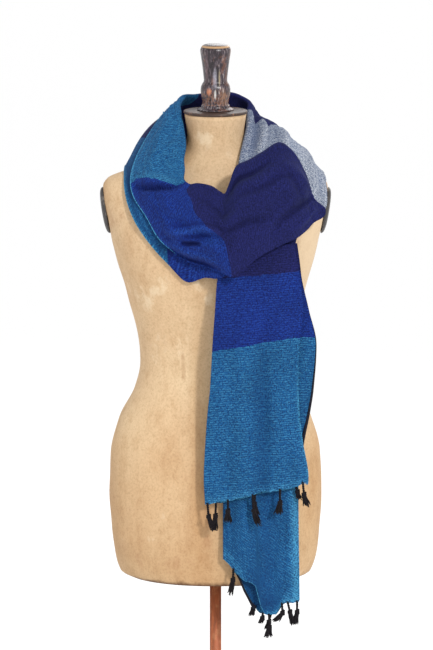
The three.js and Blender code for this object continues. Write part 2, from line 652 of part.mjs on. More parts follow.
addMesh(stand, "dress_form", fromSolid(form), new THREE.MeshStandardMaterial({ color: 0xdcc09a, roughness: 0.8 }));

addMesh(
  stand,
  "neck_cap",
  turned(
    [
      [0, FORM_TOP + GAP],
      [CAP_RADIUS - 0.5, FORM_TOP + GAP],
      [CAP_RADIUS, FORM_TOP + 1.5],
      [CAP_RADIUS, CAP_TOP - 1.5],
      [CAP_RADIUS - 1, CAP_TOP],
      [0, CAP_TOP],
    ],
    32,
  ),
  metal(0x4a3326, 0.5),
);

const FINIAL = [
  [0, 0],
  [28, 0],
  [28.5, 1.5],
  [25, 4],
  [23, 6.5],
  [20, 9],
  [20.5, 14],
  [23, 22],
  [24.2, 31],
  [23.5, 38],
  [21.2, 43],
  [18.8, 46],
  [19.6, 56],
  [21.6, 74],
  [24.2, 92],
  [24.8, 97],
  [23, 102],
  [20.5, 105.4],
  [0, 106.4],
];
addMesh(stand, "finial", turned(FINIAL.map(([r, z]) => [r, z + CAP_TOP + GAP]), 20), metal(0x2c1f1a, 0.4));

const pole = new THREE.CylinderGeometry(POLE_RADIUS, POLE_RADIUS, FORM_BOTTOM - HUB_TOP - 2 * GAP, 16);
pole.rotateX(Math.PI / 2).translate(0, 0, (FORM_BOTTOM + HUB_TOP) / 2);
addMesh(stand, "pole", pole, metal(0x9a4c33, 0.45));

addMesh(
  stand,
  "base",
  turned(
    [
      [0, 0],
      [BASE_RADIUS - 2, 0],
      [BASE_RADIUS, 2],
      [BASE_RADIUS, BASE_THICK - 6],
      [BASE_RADIUS - 6, BASE_THICK],
      [HUB_RADIUS + 16, BASE_THICK + 3],
      [HUB_RADIUS, BASE_THICK + 8],
      [HUB_RADIUS - 8, HUB_TOP - 6],
      [HUB_RADIUS - 12, HUB_TOP],
      [0, HUB_TOP],
    ],
    36,
  ),
  metal(0x3a2a22, 0.5),
);

const group = new THREE.Group();
group.add(...stand, ...scarf);

export default group;
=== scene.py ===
import math

import bpy
import numpy as np
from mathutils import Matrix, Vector


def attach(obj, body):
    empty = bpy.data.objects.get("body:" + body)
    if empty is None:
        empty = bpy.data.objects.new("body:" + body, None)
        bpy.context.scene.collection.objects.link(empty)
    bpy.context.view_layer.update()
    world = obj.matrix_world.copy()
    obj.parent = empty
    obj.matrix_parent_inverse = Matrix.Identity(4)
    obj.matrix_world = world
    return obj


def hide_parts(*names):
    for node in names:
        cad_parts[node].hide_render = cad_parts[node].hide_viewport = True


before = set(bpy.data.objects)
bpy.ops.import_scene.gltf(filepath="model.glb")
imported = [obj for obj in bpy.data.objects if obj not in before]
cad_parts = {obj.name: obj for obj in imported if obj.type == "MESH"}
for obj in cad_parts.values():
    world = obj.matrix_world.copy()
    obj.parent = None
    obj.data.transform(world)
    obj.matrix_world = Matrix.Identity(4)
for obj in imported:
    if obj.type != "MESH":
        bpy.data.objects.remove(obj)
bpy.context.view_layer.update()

# A woven wool scarf with black knotted tassels, wound once round the neck of a limbless dress form.
# Sizes are in millimetres here and become metres in mesh_object(). The form faces -Y.
MM = 0.001


def table(columns, *rows):
    """A table with named columns: a dict for each row."""
    names = columns.split()
    return [dict(zip(names, row)) for row in rows]


# The dress form, a row for each level, as in the part's source
FORM = table(
    "z half front back square",
    (514, 143, 97, 102, 2.1),
    (521, 157, 101, 107, 2.15),
    (552, 166, 104, 113, 2.2),
    (600, 171, 108, 119, 2.2),
    (660, 174, 110, 121, 2.2),
    (720, 171, 106, 114, 2.15),
    (775, 157, 97, 100, 2.1),
    (825, 132, 89, 85, 2.1),
    (868, 122, 86, 78, 2.1),
    (910, 126, 90, 79, 2.15),
    (970, 140, 102, 85, 2.25),
    (1030, 158, 113, 91, 2.3),
    (1075, 169, 111, 93, 2.35),
    (1110, 178, 100, 91, 2.4),
    (1140, 183, 84, 84, 2.4),
    (1158, 182, 71, 75, 2.35),
    (1170, 175, 62, 67, 2.3),
    (1178, 158, 56, 62, 2.2),
    (1187, 126, 52, 58, 2.1),
    (1197, 94, 49, 54, 2.05),
    (1208, 67, 46, 50, 2),
    (1221, 51, 44, 47, 2),
    (1240, 46, 44, 46, 2),
    (1275.7, 50, 50, 50, 2),
)
FORM_BOTTOM = 514
FORM_TOP = 1275.7
CAP_TOP = 1281
CAP_RADIUS = 51.5
POLE_RADIUS = 9.5
BASE_RADIUS = 200
HUB_TOP = 52
PLATE = dict(reach=175, z=1118, wide=32, high=38, thick=9, lean=0.16)

# The wound strip, a row for each station: fold (neck side), edge of the upper layer, edge of the
# under layer, the bulge of each layer and the thickness at the fold
STRIP = table(
    "fold edge under puff belly roll",
    ((14, -120, 1062), (134, -122, 1042), (130, -116, 1044), 4, 2, 8),
    ((20, -112, 1104), (131, -122, 1056), (127, -112, 1058), 6, 3, 8),
    ((28, -94, 1146), (127, -108, 1075), (122, -101, 1077), 9, 5, 8),
    ((34, -72, 1182), (137, -90, 1098), (130, -84, 1100), 14, 9, 9),
    ((38, -52, 1209), (174, -65, 1126), (162, -61, 1128), 22, 14, 10),
    ((43, -30, 1230), (179, -46, 1150), (169, -43, 1154), 27, 17, 11),
    ((49, -8, 1252), (176, -19, 1172), (166, -18, 1180), 21, 14, 12),
    ((51, 12, 1270), (168, 12, 1184), (158, 13, 1187), 14, 10, 12),
    ((52, 30, 1280), (156, 40, 1187), (148, 40, 1188), 9, 7, 11),
    ((54, 45, 1288), (134, 66, 1190), (128, 63, 1189), 8, 6, 10),
    ((46, 60, 1294), (98, 88, 1190), (95, 84, 1184), 12, 8, 9),
    ((27, 68, 1301), (54, 104, 1184), (56, 99, 1172), 16, 9, 9),
    ((-2, 71, 1301), (0, 110, 1180), (0, 105, 1164), 17, 9, 9),
    ((-30, 68, 1298), (-60, 102, 1204), (-64, 98, 1170), 12, 7, 9),
    ((-49, 57, 1297), (-82, 74, 1262), (-118, 72, 1188), 1, 8, 9),
    ((-57, 34, 1288), (-86, 37, 1268), (-140, 38, 1188), 2, 16, 9),
    ((-55, 10, 1276), (-100, 5, 1255), (-147, 2, 1188), 4, 18, 9),
    ((-50, -18, 1252), (-120, -24, 1225), (-147, -32, 1177), 11, 16, 9),
    ((-47, -42, 1231), (-132, -46, 1198), (-146, -55, 1162), 16, 14, 10),
    ((-50, -62, 1211), (-136, -64, 1172), (-141, -72, 1140), 19, 12, 10),
    ((-49, -77, 1196), (-130, -80, 1149), (-131, -86, 1117), 21, 11, 10),
    ((-50, -88, 1182), (-112, -98, 1124), (-118, -94, 1096), 22, 9, 11),
    ((-41, -96, 1175), (-92, -112, 1091), (-98, -104, 1071), 24, 8, 12),
    ((-29, -101, 1177), (-69, -124, 1071), (-74, -112, 1046), 26, 8, 13),
    ((-16, -105, 1176), (-46, -132, 1056), (-46, -118, 1020), 27, 8, 14),
    ((-4, -110, 1173), (-17, -144, 1050), (-18, -131, 1029), 27, 7, 15),
    ((6, -116, 1167), (8, -157, 1042), (4, -149, 1031), 26, 6, 15),
    ((16, -121, 1164), (28, -166, 1036), (26, -157, 1042), 25, 5, 16),
    ((24, -118, 1184), (45, -167, 1047), (43, -156, 1055), 26, 4, 20),
    ((33, -110, 1206), (61, -166, 1062), (59, -154, 1070), 27, 3, 25),
    ((52, -99, 1214), (78, -163, 1073), (76, -151, 1080), 28, 3, 29),
    ((75, -88, 1226), (95, -155, 1081), (93, -143, 1088), 28, 3, 32),
    ((100, -78, 1239), (113, -150, 1089), (111, -138, 1096), 27, 3, 33),
    ((118, -76, 1227), (131, -142, 1096), (128, -131, 1103), 18, 3, 31),
    ((132, -78, 1203), (147, -129, 1107), (144, -119, 1112), 8, 3, 27),
    ((144, -82, 1179), (157, -117, 1116), (155, -107, 1120), 2, 2, 14),
    ((152, -86, 1152), (170, -103, 1121), (167, -98, 1124), 1, 1, 10),
    ((172, -84, 1136), (176, -92, 1126), (174, -88, 1128), 3, 1, 8),
)
LAST = len(STRIP) - 1

# Folds and creases of the strip. Each runs along a bent line of (station, place across), where
# across is 0 at the upper layer's edge and 1 at the fold; wide and high are its size.
STRIP_FOLDS = table(
    "path wide high",
    # big soft folds, also in the solids
    (((19, 0.62), (24, 0.56), (29, 0.5)), 12, 5),
    (((20.5, 0.4), (24.3, 0.385), (28, 0.37)), 8, -5),
    (((22, 0.22), (25, 0.22), (28, 0.22)), 12, 6),
    (((15, 0.5), (17.5, 0.5), (20, 0.5)), 12, 3),
    (((28, 0.36), (31.5, 0.39), (35, 0.43)), 13, -5),
    (((29, 0.74), (32.5, 0.74), (36, 0.74)), 13, 4),
    (((2, 0.74), (6, 0.74), (10, 0.74)), 11, -8),
    (((3, 0.4), (6, 0.43), (9, 0.46)), 14, -4),
    (((7, 0.84), (9.5, 0.84), (12, 0.84)), 15, -8),
    # creases of the collar and of the royal blue stretch
    (((19.3, 0.03), (20.7, 0.4), (21.5, 1.05)), 3.4, -9),
    (((18.8, 0.08), (20.1, 0.5), (21.1, 0.95)), 6, 6),
    (((20.2, 0.1), (21.6, 0.42), (22.3, 0.8)), 8, 3),
    (((22.4, 0.12), (23.7, 0.45), (26.8, 0.54)), 5, 7),
    (((22.5, 0.08), (23.5, 0.33), (26.9, 0.48)), 3.4, -4.5),
    (((22.7, 0.16), (23.9, 0.27), (25.2, 0.29)), 5, 4),
    (((23.4, 0.17), (24.1, 0.25), (25.0, 0.27)), 3.8, -15),
    (((25.0, 0.25), (25.9, 0.32), (27.1, 0.38)), 7, 6),
    (((22.6, 0.05), (24.2, 0.13), (26.2, 0.1)), 4, 5),
    (((22.5, 0.0), (24.2, 0.06), (26.2, 0.02)), 3.4, -8),
    # creases of the navy stretch
    (((25.8, 0.62), (28.2, 0.46), (30.8, 0.3)), 4, -6),
    (((26.2, 0.7), (28.6, 0.55), (31, 0.42)), 7, 5),
    (((23.5, 0.86), (26, 0.8), (28.5, 0.7)), 5, -3),
    (((27.4, 0.97), (29.0, 0.86), (31.4, 0.93)), 4.5, -10),
    (((28.5, 0.74), (30.5, 0.66), (33, 0.68)), 5, -6),
    (((30.5, 0.16), (33, 0.3), (35.5, 0.66)), 5, -7),
    (((32, 0.06), (34, 0.14), (36.2, 0.4)), 5, 5),
    (((31.4, 0.9), (32.6, 0.6), (33.6, 0.36)), 5, -3),
    # creases of the shoulders and the back of the neck
    (((14.8, 0.9), (16.6, 0.8), (18.6, 0.74)), 6.5, -2),
    (((14.6, 0.7), (16.6, 0.62), (19, 0.5)), 7, 3),
    (((15.0, 0.36), (17.0, 0.3), (19, 0.2)), 6.5, -1.5),
    (((4, 0.9), (6, 0.94), (9, 0.92)), 5, -6),
    (((3, 0.84), (5.5, 0.82), (8, 0.86)), 6, 5),
    (((3, 0.58), (5.5, 0.6), (8, 0.58)), 6, 5),
    (((3.5, 0.2), (6, 0.22), (9, 0.26)), 7, 4),
    (((3.2, 0.06), (5.2, 0.1), (8, 0.12)), 4, -4),
    (((9, 0.3), (11.5, 0.36), (13.6, 0.4)), 8, -5),
    (((9.6, 0.62), (11.5, 0.6), (13.4, 0.66)), 7, 4),
    (((10, 0.8), (12, 0.84), (14, 0.8)), 5, -4),
    (((8.6, 0.1), (11, 0.16), (13.2, 0.1)), 6, -3),
)

# The two hanging ends, a row for each level, and their hems
FRONT_TAIL = dict(
    name="scarf_front_tail",
    slant=-0.06,
    top=(1084, 1084),
    levels=table(
        "z left right behind front",
        (1090, 30, 125, 129, 140),
        (1055, 12, 130, 134, 143),
        (1030, 3, 134, 137, 143),
        (976, -1, 140, 149, 141),
        (919, -5, 134, 161, 138.8),
        (848, -9, 132, 156, 138.3),
        (809, -13, 134, 150, 138.4),
        (766, -16, 139, 141, 139.1),
        (702, -19, 149, 132, 140.1),
        (660, -17, 142, 128, 140.9),
    ),
    hem=table(
        "x z",
        (-19, 660), (-8, 662), (20, 667), (72, 680), (120, 688), (138, 694), (146, 688),
    ),
    folds=table(
        "path wide high",
        (((47, 1000), (45, 840), (42, 640)), 14, 4),
        (((80, 1000), (75, 820), (74, 640)), 10, -7),
        (((108, 960), (106, 800), (104, 640)), 13, 3.5),
        (((18, 900), (20, 780), (18, 640)), 11, -3),
        (((40, 1010), (30, 950), (14, 880)), 9, -2.5),
        (((96, 1030), (104, 960), (122, 900)), 9, 2.5),
        (((84, 850), (80, 760), (88, 690)), 8, -2.5),
        (((128, 800), (124, 740), (134, 700)), 7, 3),
        (((0, 780), (-4, 720), (-2, 668)), 6, 3),
        (((44, 760), (40, 710), (42, 670)), 6, 2),
    ),
)
LONG_TAIL = dict(
    name="scarf_long_tail",
    slant=0.55,
    top=(1060.9, 1041.2),
    levels=table(
        "z left right behind front",
        (1050, 14, 134, 131, 126),
        (950, 13, 134, 130, 126),
        (850, 12, 133, 128, 124),
        (700, 12, 133, 128, 124),
        (590, 12, 134, 128, 124),
        (540, 13, 135, 128, 124),
        (475, 22, 136, 124, 124),
    ),
    hem=table(
        "x z",
        (12, 580), (24, 567), (37, 549), (47, 532), (53, 511),
        (62, 489), (75, 476), (97, 475), (112, 494), (137, 493),
    ),
    folds=table(
        "path wide high",
        (((44, 760), (42, 640), (46, 500)), 12, 4),
        (((92, 800), (94, 640), (92, 470)), 15, -4),
        (((120, 700), (116, 600), (122, 500)), 7, 3),
        (((66, 640), (60, 580), (70, 490)), 8, -3),
        (((26, 660), (28, 610), (24, 560)), 6, -3),
        (((104, 590), (98, 540), (104, 480)), 6, 3),
    ),
)
LAYER = 3.2
INSET = 5
CURL = dict(lift=5, hollow=8)
CURL_ROWS = table(
    "x high",
    (34, 0), (44, 3), (48, 7), (52, 19), (60, 37), (67.5, 43), (71.5, 41), (73.5, 26), (75, 8), (77, 0),
)

# Tassels: the tail, its layer and the place along it, then the sizes. knot is how far the knot
# lies to the side of the root, and end how far the brush's tip lies to the side of the knot.
TASSELS = table(
    "tail layer part drop cord knot end brush wide",
    (FRONT_TAIL, 0, 0.985, 0, 21, 2, 9, 26, 1.0),
    (FRONT_TAIL, 1, 0.12, 0, 23, -1, -2, 26, 1.0),
    (FRONT_TAIL, 0, 0.775, 0, 17, 0, 0, 22, 1.25),
    (FRONT_TAIL, 0, 0.53, 0, 25, 2, 8, 26, 1.2),
    (FRONT_TAIL, 0, 0.265, 0, 21, 0, -3, 21, 1.3),
    (FRONT_TAIL, 0, 0.05, 0, 19, 2, 5, 22, 1.1),
    (FRONT_TAIL, 3, 0.99, 0, 9, 3, 4, 15, 0.8),
    (FRONT_TAIL, 2, 0.44, 0, 18, -1, 4, 20, 0.9),
    (LONG_TAIL, 0, 0.877, 0, 17, -1, -4, 28, 0.85),
    (LONG_TAIL, 0, 0.525, 1, 7, -1, -3, 11, 0.7),
    (LONG_TAIL, 0, 0.44, 0, 21, 1, -3, 18, 1.5),
    (LONG_TAIL, 0, 0.245, 0, 15, 1, -12, 17, 1.1),
    (LONG_TAIL, 0, 0.165, 0, 16, 4, 6, 23, 1.0),
    (LONG_TAIL, 0, 0.03, 0, 17, 0, -4, 23, 1.0),
    (LONG_TAIL, 3, 0.35, 0, 8, 0, -3, 14, 0.8),
    (LONG_TAIL, 2, 0.3, 0, 13, -4, -3, 15, 0.9),
)

# Painted highlights on ridges (+) and painted shade in creases (-) of the royal blue stretch, by
# (station, place across)
RIDGE_LIGHT_CREASE_SHADE = table(
    "path wide high",
    (((22.9, 0.24), (23.9, 0.45), (26.2, 0.5)), 4, 0.6),
    (((22.5, 0.28), (23.7, 0.54), (27.4, 0.6)), 2.6, -0.8),
    (((24.9, 0.31), (25.8, 0.37), (26.8, 0.4)), 8, 0.75),
    (((22.5, 0.16), (23.6, 0.32), (25.2, 0.38)), 3, -0.45),
    (((19.4, 0.1), (20.3, 0.4), (21.0, 0.8)), 4, -0.4),
)


def look_up(rows, key, column, at):
    """A smooth curve through one column of a table, looked up by another, for an array of places."""
    x = np.array([r[key] for r in rows], float)
    y = np.array([r[column] for r in rows], float)
    if x[0] > x[-1]:
        x, y = x[::-1], y[::-1]
    step = np.diff(x)
    slope = np.diff(y) / step
    tangent = np.empty_like(y)
    tangent[0] = slope[0]
    tangent[-1] = slope[-1]
    a, b = slope[:-1], slope[1:]
    same = a * b > 0
    tangent[1:-1] = np.where(same, 2 * a * b / np.where(same, a + b, 1), 0)
    at = np.asarray(at, float)
    i = np.clip(np.searchsorted(x, at, side="right") - 1, 0, len(x) - 2)
    s = np.clip((at - x[i]) / step[i], 0, 1)
    s2, s3 = s * s, s * s * s
    return (
        (2 * s3 - 3 * s2 + 1) * y[i]
        + (s3 - 2 * s2 + s) * step[i] * tangent[i]
        + (3 * s2 - 2 * s3) * y[i + 1]
        + (s3 - s2) * step[i] * tangent[i + 1]
    )


def station_value(column, u):
    """One column of the strip's table at stations u, on a Catmull-Rom curve."""
    values = np.array([r[column] for r in STRIP], float)
    if values.ndim == 1:
        values = values[:, None]
    i = np.clip(np.floor(u).astype(int), 0, LAST - 1)
    s = (u - i)[:, None]
    a, b, c, d = (values[np.clip(i + k, 0, LAST)] for k in (-1, 0, 1, 2))
    m0, m1 = (c - a) / 2, (d - b) / 2
    return b + s * m0 + s**2 * (3 * (c - b) - 2 * m0 - m1) + s**3 * (2 * (b - c) + m0 + m1)


def unit(v):
    return v / np.maximum(np.linalg.norm(v, axis=-1, keepdims=True), 1e-9)


def form_share(p):
    """How far out points lie from the form's axis, as a share of its own outline there."""
    z = np.clip(p[..., 2], FORM_BOTTOM, FORM_TOP)
    half = look_up(FORM, "z", "half", z)
    deep = np.where(p[..., 1] < 0, look_up(FORM, "z", "front", z), look_up(FORM, "z", "back", z))
    power = look_up(FORM, "z", "square", z)
    return (np.abs(p[..., 0] / half) ** power + np.abs(p[..., 1] / deep) ** power) ** (1 / power)


def settle(p, clear):
    """Moves points out of the form until they clear its surface."""
    p = p.copy()
    for _ in range(6):
        here = form_share(p)
        slope = np.stack([(form_share(p + e) - form_share(p - e)) for e in np.eye(3) * 0.5], -1)
        steep = np.maximum(np.linalg.norm(slope, axis=-1), 1e-6)
        away = (here - 1) / steep
        push = np.where((away < clear) & (p[..., 2] < CAP_TOP + 4), clear - away, 0)
        p += slope / steep[..., None] * push[..., None]
    return p


def fold_height(folds, a, b, scale_a, scale_b):
    """Height of soft folds at places (a, b); each fold fades towards both its ends."""
    high = np.zeros_like(a)
    for f in folds:
        p0, p1, p2 = (np.array(p, float) for p in f["path"])
        best = np.full(a.shape, 1e9)
        where = np.zeros_like(a)
        for t in np.linspace(0, 1, 25):
            q = (1 - t) ** 2 * p0 + 2 * t * (1 - t) * p1 + t**2 * p2
            d = ((a - q[0]) * scale_a) ** 2 + ((b - q[1]) * scale_b) ** 2
            near = d < best
            best = np.where(near, d, best)
            where = np.where(near, t, where)
        fade = np.sin(np.pi * np.clip(where, 0, 1)) ** 0.7
        high += f["high"] * fade * np.exp(-best / f["wide"] ** 2)
    return high


def ripple(a, b, seed, size, wave_a, wave_b):
    """Gentle uneven waves, the same each run."""
    local = np.random.default_rng(seed)
    total = np.zeros_like(a)
    for _ in range(9):
        fa, fb = local.normal(0, 1 / wave_a), local.normal(0, 1 / wave_b)
        total += np.sin(2 * np.pi * (fa * a + fb * b) + local.uniform(0, 6.28))
    return size * total / 3


# Meshes

def add_object(name, data):
    obj = bpy.data.objects.new(name, data)
    bpy.context.scene.collection.objects.link(obj)
    return obj


def mesh_object(name, points, faces, smooth=True):
    mesh = bpy.data.meshes.new(name)
    mesh.from_pydata((np.asarray(points) * MM).tolist(), [], [list(map(int, f)) for f in faces])
    mesh.update()
    if smooth:
        mesh.polygons.foreach_set("use_smooth", [True] * len(mesh.polygons))
    return add_object(name, mesh)


def circle(sides):
    return np.linspace(0, 2 * np.pi, sides, endpoint=False)


def grid_faces(rows, cols, around=False):
    i, j = np.meshgrid(np.arange(rows - 1), np.arange(cols if around else cols - 1), indexing="ij")
    n = (j + 1) % cols
    quad = np.stack([i * cols + j, (i + 1) * cols + j, (i + 1) * cols + n, i * cols + n], -1)
    return quad.reshape(-1, 4).tolist()


def end_faces(rows, sides):
    """The faces over the first and the last ring of a stack of rings."""
    last = [(rows - 1) * sides + k for k in range(sides)]
    return list(range(sides)), last[::-1]


def put_uv(obj, name, values):
    """Writes a UV map from one pair of numbers for each vertex."""
    layer = obj.data.uv_layers.new(name=name)
    index = np.empty(len(obj.data.loops), np.int32)
    obj.data.loops.foreach_get("vertex_index", index)
    layer.data.foreach_set("uv", np.asarray(values, np.float32)[index].ravel())


def cloth_object(name, grid, cloth_uv, band_uv):
    rows, cols = grid.shape[:2]
    obj = mesh_object(name, grid.reshape(-1, 3), grid_faces(rows, cols))
    put_uv(obj, "cloth", cloth_uv.reshape(-1, 2))
    put_uv(obj, "bands", band_uv.reshape(-1, 2))
    return obj


def tube(path, radius, sides):
    """Points and faces of a tube of one radius or several along a path."""
    path = np.asarray(path, float)
    n = len(path)
    radius = np.broadcast_to(radius, n)
    tangent = unit(np.gradient(path, axis=0))
    side = unit(np.cross(tangent, (0.31, 0.87, 0.38)))
    other = np.cross(tangent, side)
    turn = circle(sides)[None, :, None]
    ring = side[:, None] * np.cos(turn) + other[:, None] * np.sin(turn)
    points = path[:, None] + ring * radius[:, None, None]
    faces = grid_faces(n, sides, around=True)
    faces += end_faces(n, sides)
    return points.reshape(-1, 3), faces


def join_parts(parts):
    """Joins (points, faces) pairs into one."""
    points, faces, start = [], [], 0
    for p, f in parts:
        points.append(p)
        faces += [[v + start for v in face] for face in f]
        start += len(p)
    return np.concatenate(points), faces


# The wound strip

UPPER, ROUND, LOWER = 74, 12, 62
STRIP_ROWS = 430
STATION_STEP = 19
STRIP_WIDTH = 125
# How far the upper layer and the rest of the strip stay off the form
WOOL_CLEAR = dict(upper=6.3, under=1.6)
# The photo's view from a little above: how height and depth add up on the picture
SEEN = dict(up=0.982, deep=0.188)
# The stations between which the under layer shows beside the upper one
UNDER_SHOWN = (14.6, 23)

# Where one colour band gives way to the next along the strip, by station, a row for each place
# across: q is 0 at the upper edge, 1 at the fold and 2 at the under layer's edge
GREY_START = 2.8
BAND_NAMES = ("navy", "teal", "royal", "last_navy")
BAND_EDGES = table(
    "q navy teal royal last_navy",
    (0, 8.6, 12.9, 19.0, 26.7),
    (0.15, 8.6, 12.9, 19.1, 26.9),
    (0.3, 8.5, 12.9, 19.5, 26.9),
    (0.42, 8.5, 12.9, 19.8, 26.8),
    (0.47, 8.4, 12.9, 20.0, 26.6),
    (0.52, 8.3, 12.9, 20.1, 25.5),
    (0.61, 8.2, 12.9, 20.4, 24.3),
    (0.69, 8.0, 12.9, 20.6, 23.6),
    (0.8, 6.5, 12.9, 20.9, 23.0),
    (0.88, 7.0, 12.9, 21.2, 22.4),
    (0.95, 6.4, 12.9, 21.3, 22.0),
    (1, 7.6, 12.9, 21.4, 22.0),
    (1.1, 8.6, 13.3, 21.4, 22.4),
    (1.35, 8.8, 16.4, 21.8, 23.8),
    (1.5, 8.8, 16.4, 22.0, 24.6),
    (1.62, 8.8, 15.8, 22.2, 25.2),
    (1.7, 8.8, 14.4, 22.3, 25.7),
    (1.8, 8.8, 14.3, 22.5, 26.2),
    (2, 8.8, 14.0, 22.9, 27.5),
)


def bell(x, middle, wide):
    return np.exp(-(((x - middle) / wide) ** 2))


def rise(x, start, length):
    """0 before start, 1 after start + length, and a straight climb between them."""
    return np.clip((x - start) / length, 0, 1)


def fall(x, end, length):
    """1 up to a length before the end, 0 after the end, and a straight drop between them."""
    return np.clip((end - x) / length, 0, 1)


def beside_edge(grid):
    """How far each point of the strip lies from the upper layer's edge as seen from the front."""
    seen = np.stack([grid[..., 0], SEEN["up"] * grid[..., 2] + SEEN["deep"] * grid[..., 1]], -1)
    far = np.full(grid.shape[:2], 1e9)
    for point in seen[::3, 0]:
        far = np.minimum(far, np.linalg.norm(seen - point, axis=-1))
    return far


def band_place(q, station):
    """The number of each point's colour band, with its share of the way through it."""
    rows = [r["q"] for r in BAND_EDGES]
    edges = [np.full_like(q, GREY_START)]
    edges += [np.interp(q, rows, [r[name] for r in BAND_EDGES]) for name in BAND_NAMES]
    edges.append(np.full_like(q, LAST + 1.0))
    band = np.zeros_like(q)
    low = np.full_like(q, -1.0)
    for k, high in enumerate(edges):
        inside = (station >= low) & (station <= high)
        band = np.where(inside, k + (station - low) / np.maximum(high - low, 1e-6), band)
        low = high
    return band


def strip_pale_and_shade(q, station, grid):
    """Where the strip is paler (+) or darker (-): pale edges, painted highlights on ridges, painted shade
    in creases, painted contact shade beside the upper layer's edge and painted light across the grey
    stretch.
    """
    pale = 0.9 * bell(q, 0.01, 0.035) * ((station > 13) & (station < 24))
    upper = q <= 1
    at = np.minimum(q, 1)
    # painted shade in the narrow creases and painted highlight on their ridges, stronger on the royal
    # blue stretch
    narrow = [f for f in STRIP_FOLDS if f["wide"] <= 6]
    fine = fold_height(narrow, station, at, STATION_STEP, STRIP_WIDTH) * upper
    royal = rise(station, 21, 1.5) * fall(station, 27.5, 1.5)
    pale = pale + (0.85 + 0.45 * royal) * np.clip(fine / 9, -1, 0.5)
    # painted highlights and painted shade along the royal blue stretch's ridges and creases
    pale = pale + fold_height(RIDGE_LIGHT_CREASE_SHADE, station, at, STATION_STEP, STRIP_WIDTH) * upper
    under = (q > 1.3) & (station > UNDER_SHOWN[0]) & (station < UNDER_SHOWN[1])
    shade = 0.28 + 1.1 * bell(beside_edge(grid), 0, 4) + 0.4 * bell(q, 1.93, 0.025)
    pale = np.where(under, 0.6 * bell(q, 2, 0.03) - shade, pale)
    # painted light across the grey stretch's outer part and painted shade towards its fold
    grey_light_and_shade = 0.45 * fall(q, 0.62, 0.3) - 0.08 * rise(q, 0.7, 0.2)
    grey = (station > GREY_START) & (station < 8.8) & upper
    return np.where(grey, pale + grey_light_and_shade, pale)


def running_length(points, axis):
    """The length run along an axis of a grid of points, from 0."""
    step = np.linalg.norm(np.diff(points, axis=axis), axis=-1)
    start = np.zeros_like(np.take(step, [0], axis))
    return np.concatenate([start, np.cumsum(step, axis)], axis)


def strip_grid():
    """Points of the wound strip, with its place in the cloth and in the colour bands."""
    u = np.linspace(0, LAST, STRIP_ROWS)
    fold, edge, under = (station_value(c, u) for c in ("fold", "edge", "under"))
    puff, belly, roll = (station_value(c, u) for c in ("puff", "belly", "roll"))
    after, before = (
        station_value("fold", v) + station_value("edge", v)
        for v in (np.minimum(u + 0.25, LAST), np.maximum(u - 0.25, 0))
    )
    inward = unit(fold - edge)
    out = unit(np.cross(after - before, inward))
    centre = fold - inward * roll / 2
    toward = np.concatenate([centre[:, :2], np.full((len(u), 1), 30.0)], 1)
    out *= np.where((out * toward).sum(1, keepdims=True) < 0, -1, 1)

    w = np.linspace(0, 1, UPPER + 1)[None, :]
    uu = np.repeat(u[:, None], UPPER + 1, 1)
    ww = np.repeat(w, len(u), 0)
    length = np.linalg.norm(centre - edge, axis=1)[:, None]
    crease = fold_height(STRIP_FOLDS, uu, ww, STATION_STEP, STRIP_WIDTH)
    along = uu * STATION_STEP
    wave = ripple(along, ww * length, 3, 1.0, 70, 26) + ripple(along, ww * length, 5, 0.5, 26, 12)
    rim = 1.6 * np.exp(-ww * 22) * np.sin(along / 17 + 1.5 * np.sin(along / 61))
    lift = puff * np.sin(np.pi * w) + roll / 2 * w + crease + rim
    lift = lift + wave * (0.35 + 0.65 * np.sin(np.pi * ww))
    top = edge[:, None] + (centre - edge)[:, None] * w[..., None] + out[:, None] * lift[..., None]

    turn = np.pi * np.arange(1, ROUND)[None, :, None] / ROUND
    side = out[:, None] * np.cos(turn) + inward[:, None] * np.sin(turn)
    bend = centre[:, None] + (roll / 2)[:, :, None] * side
    end = (wave[:, -1:] * 0.35 + crease[:, -1:])[..., None]
    bend += out[:, None] * end * (1 - turn / np.pi)

    v = np.linspace(0, 1, LOWER + 1)[None, :]
    vv = np.repeat(v, len(u), 0)
    drop = belly * np.sin(np.pi * v) - roll / 2 * (1 - v)
    drop = drop + 0.6 * ripple(along[:, : LOWER + 1], vv * length, 11, 1.0, 60, 24) * vv
    low = centre[:, None] + (under - centre)[:, None] * v[..., None] + out[:, None] * drop[..., None]

    parts = ((top, "upper"), (bend, "under"), (low, "under"))
    grid = np.concatenate([settle(points, WOOL_CLEAR[layer]) for points, layer in parts], 1)
    q = np.concatenate([w, np.ones((1, ROUND - 1)), 1 + v], 1)
    q = np.repeat(q, len(u), 0)
    station = np.repeat(u[:, None], grid.shape[1], 1)
    down = running_length(grid[:, UPPER // 2], 0)
    cloth = np.stack([running_length(grid, 1), np.repeat(down[:, None], grid.shape[1], 1)], -1) * MM
    return grid, cloth, np.stack([band_place(q, station), strip_pale_and_shade(q, station, grid)], -1)


# The hanging ends

TAIL_ROWS = 230
TAIL_STEPS = 44
BEND_STEPS = 6
# Heights where the tails' bands change: along the front tail's two edges, and on the long tail
NAVY_EDGE = dict(z=1030, slope=0.085)
ROYAL_EDGE = dict(x=(-20, 30, 120, 165), z=(906, 915, 931, 929))
LONG_EDGES = (900, 1010)


def tail_front(tail, x, z):
    """Depth of a tail's front layer, with its folds and a slight turn round the body."""
    y = -look_up(tail["levels"], "z", "front", z) + 9 * ((x - 60) / 100) ** 2
    y = y - fold_height(tail["folds"], x, z, 1.0, 0.25)
    loose = fall(z, tail["levels"][0]["z"], 300)
    return y - loose * (ripple(x, z, 21, 0.8, 42, 260) + ripple(x, z, 22, 0.35, 17, 120))


def tail_run(tail, layer, z):
    """Where a layer starts and ends at each level."""
    left, right, behind = (look_up(tail["levels"], "z", c, z) for c in ("left", "right", "behind"))
    turn = np.minimum(right, behind) - INSET
    ends = [
        (right, left + LAYER / 2),
        (left + LAYER / 2, turn - LAYER / 2),
        (turn - LAYER / 2, left + INSET + LAYER / 2),
        (left + INSET + LAYER / 2, behind),
    ]
    return ends[layer]


